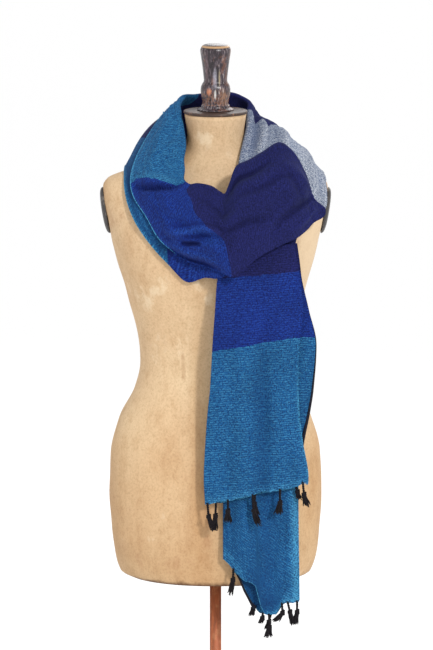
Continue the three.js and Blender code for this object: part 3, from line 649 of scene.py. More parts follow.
def scallop(tail, layer, x):
    """The hem's small scallops, and the corner of the long tail where the front layer curls up."""
    wave = 1.1 * np.sin(x / 5.1 + layer) + 0.8 * np.sin(x / 2.3 + 2 * layer)
    if tail is LONG_TAIL and layer == 0:
        wave = wave + look_up(CURL_ROWS, "x", "high", x)
    return wave


def tail_point(tail, layer, part, down):
    """Points on a tail: part runs along one of its four layers, down from its top to its hem."""
    levels = tail["levels"]
    start, stop = tail_run(tail, layer, np.array(levels[-1]["z"], float))
    across = start + (stop - start) * part
    hem = look_up(tail["hem"], "x", "z", across) - layer + scallop(tail, layer, across)
    first, last = tail_run(tail, layer, np.array(levels[0]["z"], float))
    left, right = levels[0]["left"], levels[0]["right"]
    share = (first + (last - first) * part - left) / (right - left)
    top = tail["top"][0] + (tail["top"][1] - tail["top"][0]) * share
    z = top + (hem - top) * down
    start, stop = tail_run(tail, layer, z)
    x = start + (stop - start) * part
    y = tail_front(tail, x, z) + layer * LAYER
    if tail is LONG_TAIL:
        close = bell(x, 60, 24) * fall(z, 575, 60)
        y = y + close * (-CURL["lift"] if layer == 0 else CURL["hollow"])
    return np.stack([x, y, z], -1)


def tail_grid(tail):
    """Points of a tail's four layers and the bends between them, with their place in the cloth."""
    down = np.linspace(0, 1, TAIL_ROWS)[:, None]
    part = np.linspace(0, 1, TAIL_STEPS + 1)[None, :]
    strips = [tail_point(tail, 0, part, down)]
    for layer in (1, 2, 3):
        last = strips[-1][:, -1]
        side = -1 if layer % 2 else 1
        for angle in np.pi * np.arange(1, BEND_STEPS) / BEND_STEPS:
            x = side * LAYER * math.sin(angle) / 2
            y = LAYER * (1 - math.cos(angle)) / 2
            strips.append((last + np.array([x, y, -angle / math.pi]))[:, None])
        strips.append(tail_point(tail, layer, part, down))
    grid = np.concatenate(strips, 1)
    cloth = np.stack([running_length(grid, 1), -grid[..., 2]], -1) * MM
    c, s = math.cos(tail["slant"]), math.sin(tail["slant"])
    return grid, cloth @ np.array([[c, s], [-s, c]])


def front_bands(grid):
    """Navy above, royal blue in the middle and teal below, with slightly slanted edges."""
    x, z = grid[..., 0], grid[..., 2]
    first = NAVY_EDGE["z"] + NAVY_EDGE["slope"] * x
    second = np.interp(x, ROYAL_EDGE["x"], ROYAL_EDGE["z"])
    band = np.where(z > second, 4.0 + (z - second) / (first - second), 3.0 + np.clip(z / 2000, 0, 1))
    return np.where(z > first, 5.5, band)


def long_bands(grid):
    """Teal below, royal blue and navy where the front end covers it."""
    return 3.5 + sum(grid[..., 2] > z for z in LONG_EDGES)


def tail_pale_and_shade(tail, grid):
    """Where a tail is paler along its edges and hem, with a painted highlight on the long tail's rolled
    right edge, and darker: painted shade in its valleys and in the hollow under the long tail's curled
    corner, and darker over the whole tail.
    """
    x, z = grid[..., 0], grid[..., 2]
    front = np.arange(grid.shape[1])[None, :] <= TAIL_STEPS
    right = look_up(tail["levels"], "z", "right", z)
    near_hem = 0.5 * bell(z, look_up(tail["hem"], "x", "z", x), 9)
    if tail is FRONT_TAIL:
        edge = 0.9 * bell(x, right, 2.6) * fall(z, 930, 90)
        # painted shade down the front tail's valley
        valley_shade = -0.3 * bell(x, 75, 13) * fall(z, 960, 120)
        deeper = -0.12 + 0.1 * rise(z, 905, 30)
    else:
        # painted highlight along the long tail's rolled right edge
        edge = 1.4 * bell(x, right - 4, 8)
        near_hem = near_hem * (1 + 1.2 * bell(x, 112, 22))
        # painted shade down the valley and near the middle of the hem
        valley_shade = -0.25 * bell(x, 84, 14) * rise(z, 500, 80)
        valley_shade = valley_shade - 0.55 * bell(x, 88, 15) * bell(z, 490, 15)
        valley_shade = valley_shade - 0.35 * bell(x, 70, 24) * bell(z, 520, 30)
        deeper = -0.27
        # painted shade in the hollow under the curled corner
        hollow = ((x - 58) / 17) ** 2 + ((z - 515) / 34) ** 2 < 1.6
        near_hem = np.where(hollow & ~front, -0.35, near_hem)
    return np.where(front, edge + valley_shade + near_hem, near_hem) + deeper


# Materials

class Graph:
    """A material's nodes, with short calls for the kinds that are used often."""

    def __init__(self, name):
        self.material = bpy.data.materials.new(name)
        self.material.use_nodes = True
        self.nodes = self.material.node_tree.nodes
        self.links = self.material.node_tree.links
        self.nodes.clear()
        out = self.nodes.new("ShaderNodeOutputMaterial")
        self.shader = self.nodes.new("ShaderNodeBsdfPrincipled")
        self.links.new(self.shader.outputs[0], out.inputs[0])

    def feed(self, socket, value):
        """Links an output to a socket, or sets the socket's own value."""
        if isinstance(value, bpy.types.NodeSocket):
            self.links.new(value, socket)
        else:
            socket.default_value = value

    def node(self, kind, **values):
        """A new node, with values or outputs for its named sockets."""
        node = self.nodes.new("ShaderNode" + kind)
        for name, value in values.items():
            self.feed(node.inputs[name.replace("_", " ")], value)
        return node

    def calc(self, kind, *values):
        node = self.node("Math")
        node.operation = kind
        for socket, value in zip(node.inputs, values):
            self.feed(socket, value)
        return node.outputs[0]

    def add(self, a, b):
        return self.calc("ADD", a, b)

    def less(self, a, b):
        return self.calc("SUBTRACT", a, b)

    def times(self, a, b):
        return self.calc("MULTIPLY", a, b)

    def least(self, a, b):
        return self.calc("MINIMUM", a, b)

    def most(self, a, b):
        return self.calc("MAXIMUM", a, b)

    def ramp(self, value, *stops, mode="LINEAR"):
        """A ramp over stops of (place, colour), where a plain number is a grey."""
        node = self.node("ValToRGB")
        node.color_ramp.interpolation = mode
        elements = node.color_ramp.elements
        while len(elements) < len(stops):
            elements.new(0.5)
        for element, (place, _) in zip(elements, stops):
            element.position = place
        for element, (place, colour) in zip(elements, stops):
            element.position = place
            element.color = full_colour(colour)
        self.links.new(value, node.inputs[0])
        return node.outputs[0]

    def mix(self, factor, a, b, kind="MIX"):
        node = self.node("Mix")
        node.data_type = "RGBA"
        node.blend_type = kind
        for k, value in ((0, factor), (6, a), (7, b)):
            self.feed(node.inputs[k], value)
        return node.outputs[2]

    def uv(self, name):
        node = self.node("UVMap")
        node.uv_map = name
        return node.outputs[0]

    def noise(self, vector, scale, detail=3, rough=0.6):
        """Noise with a scale of its own along each axis."""
        mapping = self.node("Mapping", Vector=vector, Scale=scale)
        noise = self.node("TexNoise", Vector=mapping.outputs[0], Scale=1, Detail=detail, Roughness=rough)
        return noise.outputs[0]

    def place(self):
        """The place on the object, whole, and its three coordinates in metres."""
        vector = self.node("TexCoord").outputs["Object"]
        return vector, self.node("SeparateXYZ", Vector=vector).outputs

    def finish(self, colour, rough, height, strength, distance, **values):
        """Gives the shader its colour, roughness and bump, and returns the material."""
        bump = self.node("Bump", Strength=strength, Distance=distance, Height=height)
        values.update(Base_Color=colour, Roughness=rough, Normal=bump.outputs[0])
        for name, value in values.items():
            self.feed(self.shader.inputs[name.replace("_", " ")], value)
        return self.material


def srgb(r, g, b):
    """A colour from 0 to 255 as Blender's linear numbers."""
    out = []
    for c in (r / 255, g / 255, b / 255):
        out.append(c / 12.92 if c <= 0.04045 else ((c + 0.055) / 1.055) ** 2.4)
    return (*out, 1)


def full_colour(colour):
    """A colour with its alpha, from a grey, three numbers or four."""
    if isinstance(colour, (int, float)):
        return (colour, colour, colour, 1)
    return colour if len(colour) == 4 else (*colour, 1)


# The colour bands of the cloth: base, light fleck and dark fleck
NAVY = dict(base=(22, 26, 79), light=(38, 43, 108), dark=(11, 12, 47))
GREY = dict(base=(112, 124, 146), light=(212, 216, 221), dark=(54, 66, 97))
TEAL = dict(base=(20, 82, 132), light=(70, 146, 186), dark=(10, 40, 84))
ROYAL = dict(base=(14, 40, 116), light=(34, 72, 154), dark=(8, 17, 68))
BANDS = [NAVY, GREY, NAVY, TEAL, ROYAL, NAVY]


def wool():
    """Brushed wool in colour bands, with weft flecks, a fine weave and a soft sheen; the bands map's
    second channel makes it paler for pale edges and painted highlights, and darker for painted shade.
    """
    g = Graph("striped_wool")
    cloth = g.uv("cloth")
    band, pale_and_shade = g.node("SeparateXYZ", Vector=g.uv("bands")).outputs[:2]
    share = g.calc("DIVIDE", band, float(len(BANDS)))
    base, light, dark = (
        g.ramp(share, *[(k / len(BANDS), srgb(*b[tone])) for k, b in enumerate(BANDS)], mode="CONSTANT")
        for tone in ("base", "light", "dark")
    )
    weft = g.noise(cloth, (108, 400, 1), 3, 0.62)
    dots = g.noise(cloth, (390, 350, 1), 2)
    warp = g.noise(cloth, (620, 170, 1), 2)
    cloudy = g.noise(cloth, (20, 14, 1), 3, 0.5)
    rows = g.node("TexWave", Vector=cloth, Scale=84, Distortion=5, Detail=3, Detail_Scale=1.6)
    rows.inputs["Detail Roughness"].default_value = 0.6
    rows.bands_direction = "Y"
    weft = g.add(g.times(weft, 0.78), g.times(rows.outputs[1], 0.2))
    bright = g.ramp(weft, (0.46, 0), (0.62, 1))
    deep = g.ramp(dots, (0.4, 1), (0.5, 0))
    thread = g.ramp(warp, (0.46, 0), (0.66, 1))
    # pale_and_shade above 0 lifts the colour towards the light fleck (pale edges and painted highlights);
    # below 0 it darkens it (painted shade)
    lit = g.add(g.times(bright, 0.62), g.times(pale_and_shade, 0.55))
    colour = g.mix(g.least(g.most(lit, 0.0), 1.0), base, light)
    colour = g.mix(g.times(deep, 0.8), colour, dark)
    colour = g.mix(g.times(thread, 0.4), colour, dark)
    colour = g.mix(g.most(g.times(pale_and_shade, -0.6), 0.0), colour, dark)
    colour = g.mix(1.0, colour, g.ramp(cloudy, (0.3, 0.86), (0.7, 1.1)), "MULTIPLY")
    fine = g.add(g.times(weft, 0.9), g.times(warp, 0.5))
    sheen = dict(Sheen_Weight=0.06, Sheen_Roughness=0.5, Sheen_Tint=srgb(120, 150, 220))
    return g.finish(colour, 0.92, fine, 0.55, 0.0009, Specular_IOR_Level=0.2, **sheen)


def yarn(name, colour, light):
    """Twisted yarn in one colour."""
    g = Graph(name)
    noise = g.noise(g.place()[0], (900, 900, 315))
    tone = g.ramp(noise, (0.35, srgb(*colour)), (0.7, srgb(*light)))
    return g.finish(tone, 0.88, noise, 0.5, 0.0004, Sheen_Weight=0.04, Specular_IOR_Level=0.2)


def spot(g, place, row, base=0):
    """A soft patch on the front, in millimetres from the axis and up from a base height."""
    across = g.calc("DIVIDE", g.less(place[0], row["x"] * MM), row["wide"] * MM)
    up = g.calc("DIVIDE", g.less(place[2], (base + row["z"]) * MM), row["high"] * MM)
    far = g.add(g.times(across, across), g.times(up, up))
    near = g.most(g.less(1.0, far), 0.0)
    return g.times(near, g.calc("LESS_THAN", place[1], 0.0))


# Paler and browner places on the front of the cover: worn patches and stains, with a painted highlight on
# the right of the chest (the first pale row) and brown along the painted shadow beside the hanging end
# (the brown row at x -30)
PALE_AND_LIT_SPOTS = table(
    "x z wide high share",
    # painted highlight where the light falls on the right of the chest
    (158, 1030, 40, 110, 3.6),
    (-20, 1243, 22, 15, 0.9),
    (20, 1190, 30, 40, 0.5),
    (-110, 985, 26, 36, 1.2),
    (-84, 1010, 20, 26, 1.1),
    (-10, 985, 12, 26, 1.1),
    (-120, 1110, 26, 40, 0.6),
)
BROWN_SPOTS = table(
    "x z wide high share",
    (-170, 1120, 26, 60, 0.6),
    (-128, 1040, 16, 44, 0.5),
    (-52, 872, 6, 26, 1.3),
    # adds brown along the painted shadow beside the hanging end
    (-30, 800, 10, 160, 0.5),
    (-46, 640, 14, 90, 0.5),
    (-12, 640, 12, 120, 0.8),
    (-140, 560, 40, 26, 0.7),
    (-72, 548, 50, 18, 0.7),
)
# Broad darker places: a painted shadow beside the hanging end, painted shade on the hips' sides, and
# darker tone at the hem, the neck and the chest
SHADOWS_AND_TINTS = table(
    "x z wide high share",
    # painted shadow beside the hanging end
    (-26, 800, 20, 260, 0.45),
    (-24, 600, 30, 130, 0.3),
    # painted shade on the hips' sides
    (178, 660, 60, 130, 0.7),
    (-182, 660, 40, 150, 0.4),
    (-60, 540, 150, 60, 0.35),
    (-192, 1100, 26, 120, 0.7),
    (-48, 1240, 22, 60, 0.5),
    (0, 1200, 90, 110, 0.16),
    (-90, 1010, 90, 120, 0.12),
)


def gather(g, place, spots):
    """The sum of a table's patches, each with its own share."""
    total = 0.0
    for row in spots:
        total = g.add(g.times(spot(g, place, row), row["share"]), total)
    return total


def aged_cover():
    """Old linen over papier mache: tan, with paler worn patches, brown streaks and stains, and painted
    light: a highlight on the right of the chest, a shadow beside the hanging end and shade on the hips'
    sides.
    """
    g = Graph("aged_form_cover")
    vector, place = g.place()
    broad = g.noise(vector, (5, 5, 4), 4, 0.55)
    patch = g.noise(vector, (19, 19, 15), 6, 0.66)
    stain = g.noise(vector, (46, 46, 30), 5, 0.68)
    streak = g.noise(vector, (110, 110, 7), 4, 0.62)
    fine = g.noise(vector, (330, 330, 290), 4, 0.7)
    fibre = g.noise(vector, (900, 900, 1100), 2, 0.6)

    level = g.ramp(
        g.times(g.less(place[2], 0.52), 1.33),
        (0.0, srgb(186, 151, 110)),
        (0.22, srgb(202, 170, 130)),
        (0.42, srgb(214, 186, 148)),
        (0.7, srgb(208, 180, 143)),
        (1.0, srgb(210, 183, 148)),
    )
    warm = g.ramp(broad, (0.35, srgb(196, 154, 112)), (0.65, srgb(220, 192, 154)))
    colour = g.mix(0.45, level, warm)
    lines = g.ramp(streak, (0.34, srgb(178, 134, 92)), (0.5, 1), (0.72, 1))
    colour = g.mix(0.06, colour, lines, "MULTIPLY")
    grain = g.ramp(fine, (0.3, (0.76, 0.7, 0.63)), (0.5, 1), (0.66, (1.07, 1.07, 1.08)))
    colour = g.mix(0.75, colour, grain, "MULTIPLY")
    mottle = g.ramp(stain, (0.34, (0.86, 0.8, 0.74)), (0.5, 1.01), (0.68, (1.07, 1.08, 1.1)))
    colour = g.mix(0.7, colour, mottle, "MULTIPLY")
    # painted shadow beside the hanging end and painted shade on the hips' sides, with darker tone at the
    # hem, neck and chest
    shadow_and_tint = g.least(gather(g, place, SHADOWS_AND_TINTS), 1.0)
    colour = g.mix(shadow_and_tint, colour, (0.78, 0.66, 0.53, 1), "MULTIPLY")
    # paler worn patches, and a painted highlight on the right of the chest
    pale = g.times(gather(g, place, PALE_AND_LIT_SPOTS), 0.17)
    flaky = g.less(g.add(g.times(patch, 0.7), g.times(stain, 0.5)), 0.1)
    worn = g.ramp(g.add(flaky, pale), (0.6, 0), (0.7, 1))
    colour = g.mix(g.times(worn, 0.5), colour, srgb(232, 212, 180))
    # brown stains, and brown along the painted shadow beside the hanging end
    brown = g.times(gather(g, place, BROWN_SPOTS), 0.22)
    stains_and_shadow = g.ramp(g.add(stain, brown), (0.6, 0), (0.8, 1))
    colour = g.mix(g.times(stains_and_shadow, 0.5), colour, srgb(158, 112, 74))
    rim = g.add(g.times(g.less(place[2], FORM_BOTTOM * MM), 60.0), g.times(stain, 0.9))
    hem = g.ramp(rim, (0.5, srgb(104, 70, 46)), (0.9, 1))
    colour = g.mix(0.8, colour, hem, "MULTIPLY")
    rough = g.add(g.add(patch, g.times(fibre, 0.12)), g.times(streak, 0.25))
    return g.finish(colour, 0.7, rough, 0.4, 0.0013, Specular_IOR_Level=0.3)


def worn_wood(name, paint, wear, gloss, amount):
    """Dark painted or varnished wood, worn through in places."""
    g = Graph(name)
    vector = g.place()[0]
    grain = g.noise(vector, (260, 260, 24), 4, 0.6)
    chips = g.noise(vector, (75, 75, 60), 6, 0.68)
    edge = g.ramp(g.node("NewGeometry").outputs["Pointiness"], (0.49, 0), (0.56, 1))
    mask = g.ramp(g.add(chips, g.times(edge, 0.12)), (0.56 - amount, 0), (0.62 - amount, 1))
    tone = g.ramp(grain, (0.3, srgb(*[c * 0.7 for c in paint])), (0.7, srgb(*paint)))
    bare = g.ramp(grain, (0.3, srgb(*[c * 0.75 for c in wear])), (0.7, srgb(*wear)))
    return g.finish(g.mix(mask, tone, bare), gloss, chips, 0.4, 0.0006)


# Marks on the front of the finial, with z up from the cap: a painted reflection band and a painted
# highlight (the first two rows), then darker and rubbed marks
FINIAL_MARKS_AND_GLINTS = table(
    "x z wide high share colour",
    (-0.8, 53, 4.4, 20, 0.6, (188, 186, 200)),
    (-0.4, 28, 2.2, 9, 0.95, (232, 230, 226)),
    (3.6, 46, 1.8, 34, 1.2, (18, 13, 15)),
    (6.4, 54, 1.8, 16, 0.65, (206, 188, 148)),
    (-10.4, 32, 5, 7, 1.0, (200, 124, 84)),
    (-14, 70, 3, 30, 0.6, (120, 92, 96)),
    (13, 24, 6, 16, 0.6, (150, 112, 84)),
)


def varnished_wood():
    """The finial's old dark varnish: streaked, rubbed to red-brown in places, tan at the top rim, with a
    painted reflection band and a painted highlight on its front.
    """
    g = Graph("finial_wood")
    vector, place = g.place()
    streak = g.noise(vector, (330, 330, 46), 5, 0.72)
    blot = g.noise(vector, (95, 95, 48), 5, 0.66)
    spots = g.noise(vector, (300, 300, 220), 3, 0.6)
    tone = g.ramp(
        streak,
        (0.34, srgb(10, 7, 10)),
        (0.48, srgb(46, 35, 42)),
        (0.58, srgb(92, 80, 86)),
        (0.7, srgb(184, 172, 166)),
    )
    rub = g.ramp(g.add(blot, g.times(place[0], 3.0)), (0.55, 0), (0.64, 1))
    wear = g.ramp(streak, (0.35, srgb(70, 40, 32)), (0.6, srgb(126, 82, 62)), (0.75, srgb(178, 136, 106)))
    colour = g.mix(g.times(rub, 0.7), tone, wear)
    low = g.times(g.less((CAP_TOP + 34) * MM, place[2]), 16.0)
    bulb = g.ramp(g.add(spots, g.least(low, 0.12)), (0.54, 0), (0.68, 1))
    foot = g.calc("GREATER_THAN", place[2], (CAP_TOP + 9) * MM)
    colour = g.mix(g.times(g.times(bulb, 0.6), foot), colour, srgb(146, 100, 74))
    # the first two rows paint a reflection band and a highlight; the rest are darker and rubbed marks
    for row in FINIAL_MARKS_AND_GLINTS:
        mark_and_glint = g.times(g.times(spot(g, place, row, CAP_TOP), spots), 1.5 * row["share"])
        colour = g.mix(g.least(mark_and_glint, 0.8), colour, srgb(*row["colour"]))
    above = g.times(g.less(place[2], (CAP_TOP + 103.6) * MM), 420.0)
    top = g.less(1.0, g.calc("ABSOLUTE", above))
    bare = g.ramp(g.add(top, g.times(streak, 0.2)), (0.3, 0), (0.7, 1))
    colour = g.mix(g.times(bare, 0.85), colour, srgb(196, 156, 112))
    return g.finish(colour, 0.27, streak, 0.5, 0.0006)


# Pieces

WRAP_NODES = (
    "scarf_right_shoulder",
    "scarf_behind_neck",
    "scarf_left_collar",
    "scarf_chest_crossing",
    "scarf_turned_end",
)
EDGE_SIDES = 6


def dress(obj, material, slot, *nodes):
    """Gives a piece its material, its body and the solids that it replaces; slot is not used."""
    obj.data.materials.append(material)
    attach(obj, "root")
    if nodes:
        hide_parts(*nodes)
    return obj


def selvedge(name, lines, material, slot):
    """A woven edge along lines of (points, places in the cloth, places in the bands, radius)."""
    points, faces = join_parts([tube(line[0], line[3], EDGE_SIDES) for line in lines])
    obj = mesh_object(name, points, faces)
    for layer, k in (("cloth", 1), ("bands", 2)):
        put_uv(obj, layer, np.concatenate([np.repeat(line[k], EDGE_SIDES, 0) for line in lines]))
    return dress(obj, material, slot)


def edge_line(grid, cloth, band, column, radius, pale, teal=False):
    """One edge of a cloth grid as a line, with its radius and paleness at each second row."""
    rows = slice(None, None, 2)
    band = band[rows, column].copy()
    band[:, 1] = pale
    if teal:
        band[:, 0] = np.where(np.asarray(pale) > 0.3, 3.5, band[:, 0])
    return grid[rows, column], cloth[rows, column], band, np.broadcast_to(radius, len(band))


def make_wrap(material):
    grid, cloth, band = strip_grid()
    wrap = dress(cloth_object("scarf_wrap", grid, cloth, band), material, "wool_teal", *WRAP_NODES)
    u = np.linspace(0, LAST, STRIP_ROWS)[::2]
    shown = rise(u, 12.6, 1.2) * fall(u, 23.4, 1.4)
    lines = [
        edge_line(grid, cloth, band, 0, 0.35 + 0.5 * shown, 1.7 * shown, teal=True),
        edge_line(grid, cloth, band, -1, 0.35 + 0.45 * shown, 1.3 * shown, teal=True),
    ]
    edge = selvedge("selvedge_wrap", lines, material, "wool_teal")


def corner_line(grid, cloth, band):
    """The dark edge of the long tail's second layer, where the front layer's corner curls up."""
    second = TAIL_STEPS + BEND_STEPS
    back = np.arange(second, second + TAIL_STEPS)
    x = grid[-1, back, 0]
    back = back[(x > 36) & (x < 68)]
    thick = np.interp(grid[-1, back, 0], [36, 42, 58, 64, 68], [1.0, 2.1, 2.2, 3.6, 2.4])
    return grid[-1, back] + (-1.2, -2.0, -1.0), cloth[-1, back], band[-1, back], thick


def make_tail(tail, material, dark):
    front = tail is FRONT_TAIL
    grid, cloth = tail_grid(tail)
    band = np.stack([front_bands(grid) if front else long_bands(grid), tail_pale_and_shade(tail, grid)], -1)
    obj = cloth_object(tail["name"] + "_cloth", grid, cloth, band)
    dress(obj, material, "wool_teal", tail["name"])
    z = grid[::2, 0, 2]
    low = fall(z, 900, 60) if front else np.ones_like(z)
    side = edge_line(grid, cloth, band, 0, 0.3 + 0.5 * low, 1.4 * low)
    hem_band = band[-1, ::2].copy()
    hem_band[:, 1] = 1.2
    hem = (grid[-1, ::2], cloth[-1, ::2], hem_band, np.full(len(hem_band), 0.55))
    name = "selvedge_front" if front else "selvedge_long"
    pieces = [selvedge(name + "_edge", [side, hem], material, "wool_teal")]
    thick = 0.4
    # on the front tail the dark edge widens downwards to stand for the tail's back side in shade: a black
    # edge with painted shade
    if front:
        z = grid[::2, -1, 2]
        thick = 0.3 + 2.6 * fall(z, 960, 190) * np.clip((z - 700) / 50, 0.15, 1)
    line = edge_line(grid, cloth, band, -1, thick, 0)
    look = (dark, "tassel_yarn") if front else (material, "wool_teal")
    pieces.append(selvedge(name + "_behind", [line], *look))
    if not front:
        pieces.append(selvedge(name + "_corner", [corner_line(grid, cloth, band)], dark, "tassel_yarn"))
    width = running_length(grid[len(grid) // 2], 0)[-1] * MM


def make_scarf():
    material = wool()
    dark = yarn("selvedge_dark", (12, 11, 18), (34, 32, 46))
    make_wrap(material)
    make_tail(FRONT_TAIL, material, dark)
    make_tail(LONG_TAIL, material, dark)


STRANDS = 15
CORD_RADIUS = 1.9


def twisted_cord(top, bottom, turns):
    """Two plies wound round each other from top to bottom."""
    t = np.linspace(0, 1, 26)
    line = top + (bottom - top) * t[:, None]
    parts = []
    for phase in (0, math.pi):
        a = 2 * math.pi * turns * t + phase
        offset = np.stack([np.cos(a), np.sin(a), 0 * a], 1) * CORD_RADIUS * 0.55
        parts.append(tube(line + offset, CORD_RADIUS * 0.62, 6))
    return parts


def tassel_parts(row, number):
    """A twisted cord, a wound knot and a brush of loose strands."""
    local = np.random.default_rng(100 + number)
    root = tail_point(row["tail"], row["layer"], np.array(row["part"]), np.array(1.0))
    root = root - (0, 0, row["drop"])
    knot = root + (row["knot"], 0, -row["cord"])
    parts = twisted_cord(root + (0, 0, 1.2), knot, row["cord"] / 6.5)
    a = np.linspace(0, 2 * math.pi * 2.1, 34)
    loop = np.stack([2.6 * np.cos(a), 2.4 * np.sin(a), 2.2 - 0.42 * a + 0.9 * np.sin(2 * a)], 1)
    parts.append(tube(knot + loop, 1.7, 7))
    s = np.linspace(0, 1, 10)
    thick = np.interp(s, [0, 0.25, 0.8, 1], [1.0, 1.25, 1.05, 0.45])
    for k in range(STRANDS):
        angle = 2 * math.pi * (k + local.uniform(-0.3, 0.3)) / STRANDS
        inner = 0.45 if k % 3 == 0 else 1
        length = (row["brush"] - 1) * local.uniform(0.8, 1.06)
        spread = inner * (1.7 + row["wide"] * (2.6 * s**0.7 + 1.5 * s * s * local.uniform(0, 1.2)))
        wiggle = 0.7 * np.sin(7 * s + local.uniform(0, 6)) * s
        x = row["end"] * s * (0.6 + 0.4 * s) + spread * math.cos(angle) + wiggle
        y = 0.75 * spread * math.sin(angle) + 0.5 * wiggle
        parts.append(tube(knot + np.stack([x, y, 0.5 - length * s], 1), thick, 4))
    return parts


def make_tassels():
    material = yarn("tassel_yarn", (8, 6, 8), (30, 24, 30))
    counts = {"front": 0, "long": 0}
    for k, row in enumerate(TASSELS):
        end = "front" if row["tail"] is FRONT_TAIL else "long"
        counts[end] += 1
        name = f"tassel_{end}_{counts[end]}"
        points, faces = join_parts(tassel_parts(row, k))
        dress(mesh_object(name + "_yarn", points, faces), material, "tassel_yarn", name)


def form_ring(z, angle):
    """The form's outline at one level, at angles of its superellipse."""
    columns = ("half", "front", "back", "square")
    half, front, back, square = (float(look_up(FORM, "z", c, z)) for c in columns)
    power = 2 / square
    x = half * np.sign(np.cos(angle)) * np.abs(np.cos(angle)) ** power
    y = np.sign(np.sin(angle)) * np.abs(np.sin(angle)) ** power
    return np.stack([x, y * np.where(y < 0, front, back), np.full_like(x, z)], 1)


def lathe_faces(rows, sides):
    """Faces of a stack of rings, closed at both ends and facing out."""
    faces = grid_faces(rows, sides, around=True)
    faces += end_faces(rows, sides)
    return [f[::-1] for f in faces]


FORM_SIDES = 168
FORM_STEP = 6
ARMHOLE_REACH = 74


def make_form():
    levels = []
    for a, b in zip(FORM[:-1], FORM[1:]):
        n = max(3, int((b["z"] - a["z"]) / FORM_STEP))
        levels += list(np.linspace(a["z"], b["z"], n, endpoint=False))
    levels.append(FORM_TOP)
    rings = []
    for z in levels:
        # evenly spaced round the outline rather than by angle
        dense = form_ring(z, circle(720))
        closed = np.concatenate([dense, dense[:1]])
        total = running_length(closed, 0)
        where = np.linspace(0, total[-1], FORM_SIDES, endpoint=False)
        rings.append(np.stack([np.interp(where, total, closed[:, k]) for k in range(3)], 1))
    grid = np.array(rings)
    # flat cuts where the plates close the armholes
    for side in (-1, 1):
        reach = PLATE["reach"] - (PLATE["z"] - grid[..., 2]) * math.tan(PLATE["lean"])
        beyond = np.abs(grid[..., 2] - PLATE["z"]) < ARMHOLE_REACH
        beyond = beyond & (grid[..., 0] * side > reach)
        grid[..., 0] = np.where(beyond, side * reach, grid[..., 0])
    # slight lumps of a hand-laid shell
    lump = ripple(grid[..., 0] + 0.6 * grid[..., 1], grid[..., 2], 31, 0.5, 90, 110)
    grid[..., :2] *= (1 + lump * 0.9 / 130)[..., None]
    body = mesh_object("form_body", grid.reshape(-1, 3), lathe_faces(len(levels), FORM_SIDES))
    dress(body, aged_cover(), "form_cover", "dress_form")


def turned(name, profile, sides, material, slot, node):
    """A lathe-turned body from a profile of radius and height, with its corners kept."""
    angle = circle(sides)
    ring = np.stack([np.cos(angle), np.sin(angle)], 1)
    rows = [np.concatenate([ring * max(r, 0.01), np.full((sides, 1), z)], 1) for r, z in profile]
    obj = mesh_object(name, np.concatenate(rows), lathe_faces(len(rows), sides))
    dress(obj, material, slot, node)


def rounded(profile):
    """A profile with its inner corners cut three times, until they are round."""
    points = np.array(profile, float)
    for _ in range(3):
        a = points[:-1] * 0.75 + points[1:] * 0.25
        b = points[:-1] * 0.25 + points[1:] * 0.75
        middle = np.stack([a, b], 1).reshape(-1, 2)
        points = np.concatenate([points[:1], middle, points[-1:]])
        if len(points) > 160:
            break
    return points


# Profiles of the turned pieces, as (radius, height) from each one's own foot
FINIAL = [
    (0, 0), (29.5, 0), (30, 1.2), (27.2, 3), (24.6, 4), (23.6, 5), (23.4, 7), (21.6, 9.2), (20.9, 11),
    (21.4, 15), (23, 22), (24.2, 31), (23.5, 38), (21.2, 43), (18.6, 46.5), (19.4, 56), (21.5, 74),
    (24, 90), (24.8, 96), (24.4, 99), (20.6, 106.2), (0, 107.4),
]
BASE = [
    (0, 0), (BASE_RADIUS - 2, 0), (BASE_RADIUS, 2), (BASE_RADIUS, 16), (BASE_RADIUS - 6, 22), (50, 25),
    (34, 30), (26, 46), (22, HUB_TOP), (0, HUB_TOP),
]
GAP = 0.3


def make_stand():
    finial = rounded([(r, z + CAP_TOP + GAP) for r, z in FINIAL])
    turned("finial_turned", finial, 64, varnished_wood(), "dark_wood", "finial")
    cap = worn_wood("cap_wood", (72, 50, 40), (142, 98, 70), 0.46, -0.03)
    low = FORM_TOP + GAP
    disc = [
        (0, low), (CAP_RADIUS - 0.5, low), (CAP_RADIUS, low + 1.3), (CAP_RADIUS, CAP_TOP - 1.5),
        (CAP_RADIUS - 1, CAP_TOP), (0, CAP_TOP),
    ]
    turned("neck_cap_turned", rounded(disc), 96, cap, "dark_wood", "neck_cap")
    paint = worn_wood("pole_wood", (190, 104, 62), (200, 124, 80), 0.6, -0.07)
    low, high = HUB_TOP + GAP, FORM_BOTTOM - GAP
    pole = [(0, low), (POLE_RADIUS, low), (POLE_RADIUS, high), (0, high)]
    turned("pole_turned", pole, 48, paint, "pole_red_brown", "pole")
    wood = worn_wood("base_wood", (60, 40, 34), (120, 78, 54), 0.42, -0.04)
    turned("base_turned", rounded(BASE), 128, wood, "dark_wood", "base")


def make_plates():
    """Worn dark ovals over the armholes, domed a little."""
    material = worn_wood("plate_paint", (66, 62, 62), (120, 112, 104), 0.5, -0.03)
    dome = rounded([(0.0, 1.0), (0.6, 0.93), (0.9, 0.7), (1.0, 0.35), (1.0, 0.0), (0.0, 0.0)])
    angle = circle(72)
    c, s = math.cos(PLATE["lean"]), math.sin(PLATE["lean"])
    for side, name in ((-1, "armhole_plate_left"), (1, "armhole_plate_right")):
        rows = []
        for r, t in dome:
            r = max(r, 0.002)
            out = t * PLATE["thick"] + GAP
            across, up = PLATE["wide"] * r * np.cos(angle), PLATE["high"] * r * np.sin(angle)
            x = out * c + up * s + PLATE["reach"]
            z = -out * s + up * c + PLATE["z"]
            rows.append(np.stack([side * x, side * across, z], 1))
        faces = [f[::-1] for f in lathe_faces(len(rows), len(angle))]
        dress(mesh_object(name + "_domed", np.concatenate(rows), faces), material, "plate_black", name)


# Studio

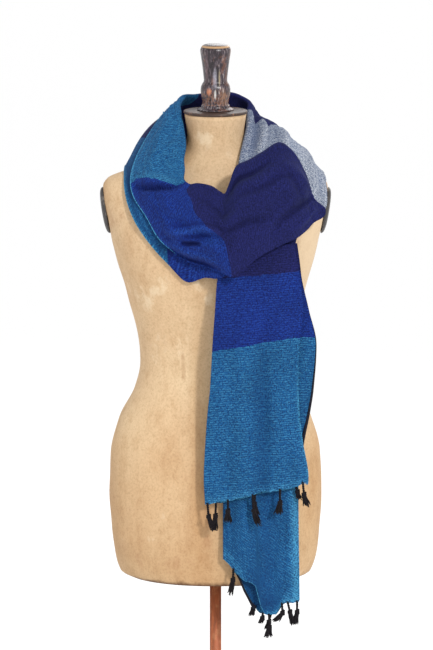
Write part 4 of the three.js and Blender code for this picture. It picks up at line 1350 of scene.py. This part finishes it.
FLOOR = dict(half=30000, deep=40000, z=-0.5)
CAMERA = dict(x=0.0016, distance=6.5, height=2.14, aim=0.928, sensor=36, lens=224.67)
LAMPS = table(
    "name kind place power spread",
    ("key", "SUN", (2.5, -4.9, 4.0), 1.8, 0.1),
    ("fill", "AREA", (-2.8, -3.0, 1.8), 12, 2.2),
    ("rim", "AREA", (0.8, 3.0, 2.6), 26, 2.0),
)


def make_studio():
    g = Graph("studio_floor")
    tone = g.ramp(g.node("TexNoise", Scale=3).outputs[0], (0.3, 0.95), (0.7, 0.975))
    g.feed(g.shader.inputs["Base Color"], tone)
    g.feed(g.shader.inputs["Roughness"], 0.9)
    half, deep, z = FLOOR["half"], FLOOR["deep"], FLOOR["z"]
    corners = [(-half, -deep, z), (half, -deep, z), (half, deep, z), (-half, deep, z)]
    floor = mesh_object("studio_floor", corners, [(0, 1, 2, 3)], smooth=False)
    floor.data.materials.append(g.material)

    world = bpy.data.worlds.new("studio")
    world.use_nodes = True
    background = world.node_tree.nodes["Background"]
    background.inputs[0].default_value = (1, 1, 1, 1)
    background.inputs[1].default_value = 0.78
    bpy.context.scene.world = world

    target = Vector((0, 0, 0.95))
    for row in LAMPS:
        lamp = bpy.data.lights.new(row["name"], row["kind"])
        lamp.energy = row["power"]
        if row["kind"] == "SUN":
            lamp.angle = row["spread"]
        else:
            lamp.size = row["spread"]
        obj = add_object(row["name"], lamp)
        obj.location = row["place"]
        obj.rotation_euler = (target - Vector(row["place"])).to_track_quat("-Z", "Y").to_euler()

    camera = bpy.data.cameras.new("camera")
    camera.sensor_width = CAMERA["sensor"]
    camera.lens = CAMERA["lens"]
    camera.clip_end = 100
    obj = add_object("camera", camera)
    obj.location = (CAMERA["x"], -CAMERA["distance"], CAMERA["height"])
    down = math.atan2(CAMERA["height"] - CAMERA["aim"], CAMERA["distance"])
    obj.rotation_euler = (math.pi / 2 - down, 0, 0)
    bpy.context.scene.camera = obj
    bpy.context.scene.view_settings.view_transform = "Standard"


make_form()
make_stand()
make_plates()
make_scarf()
make_tassels()
make_studio()
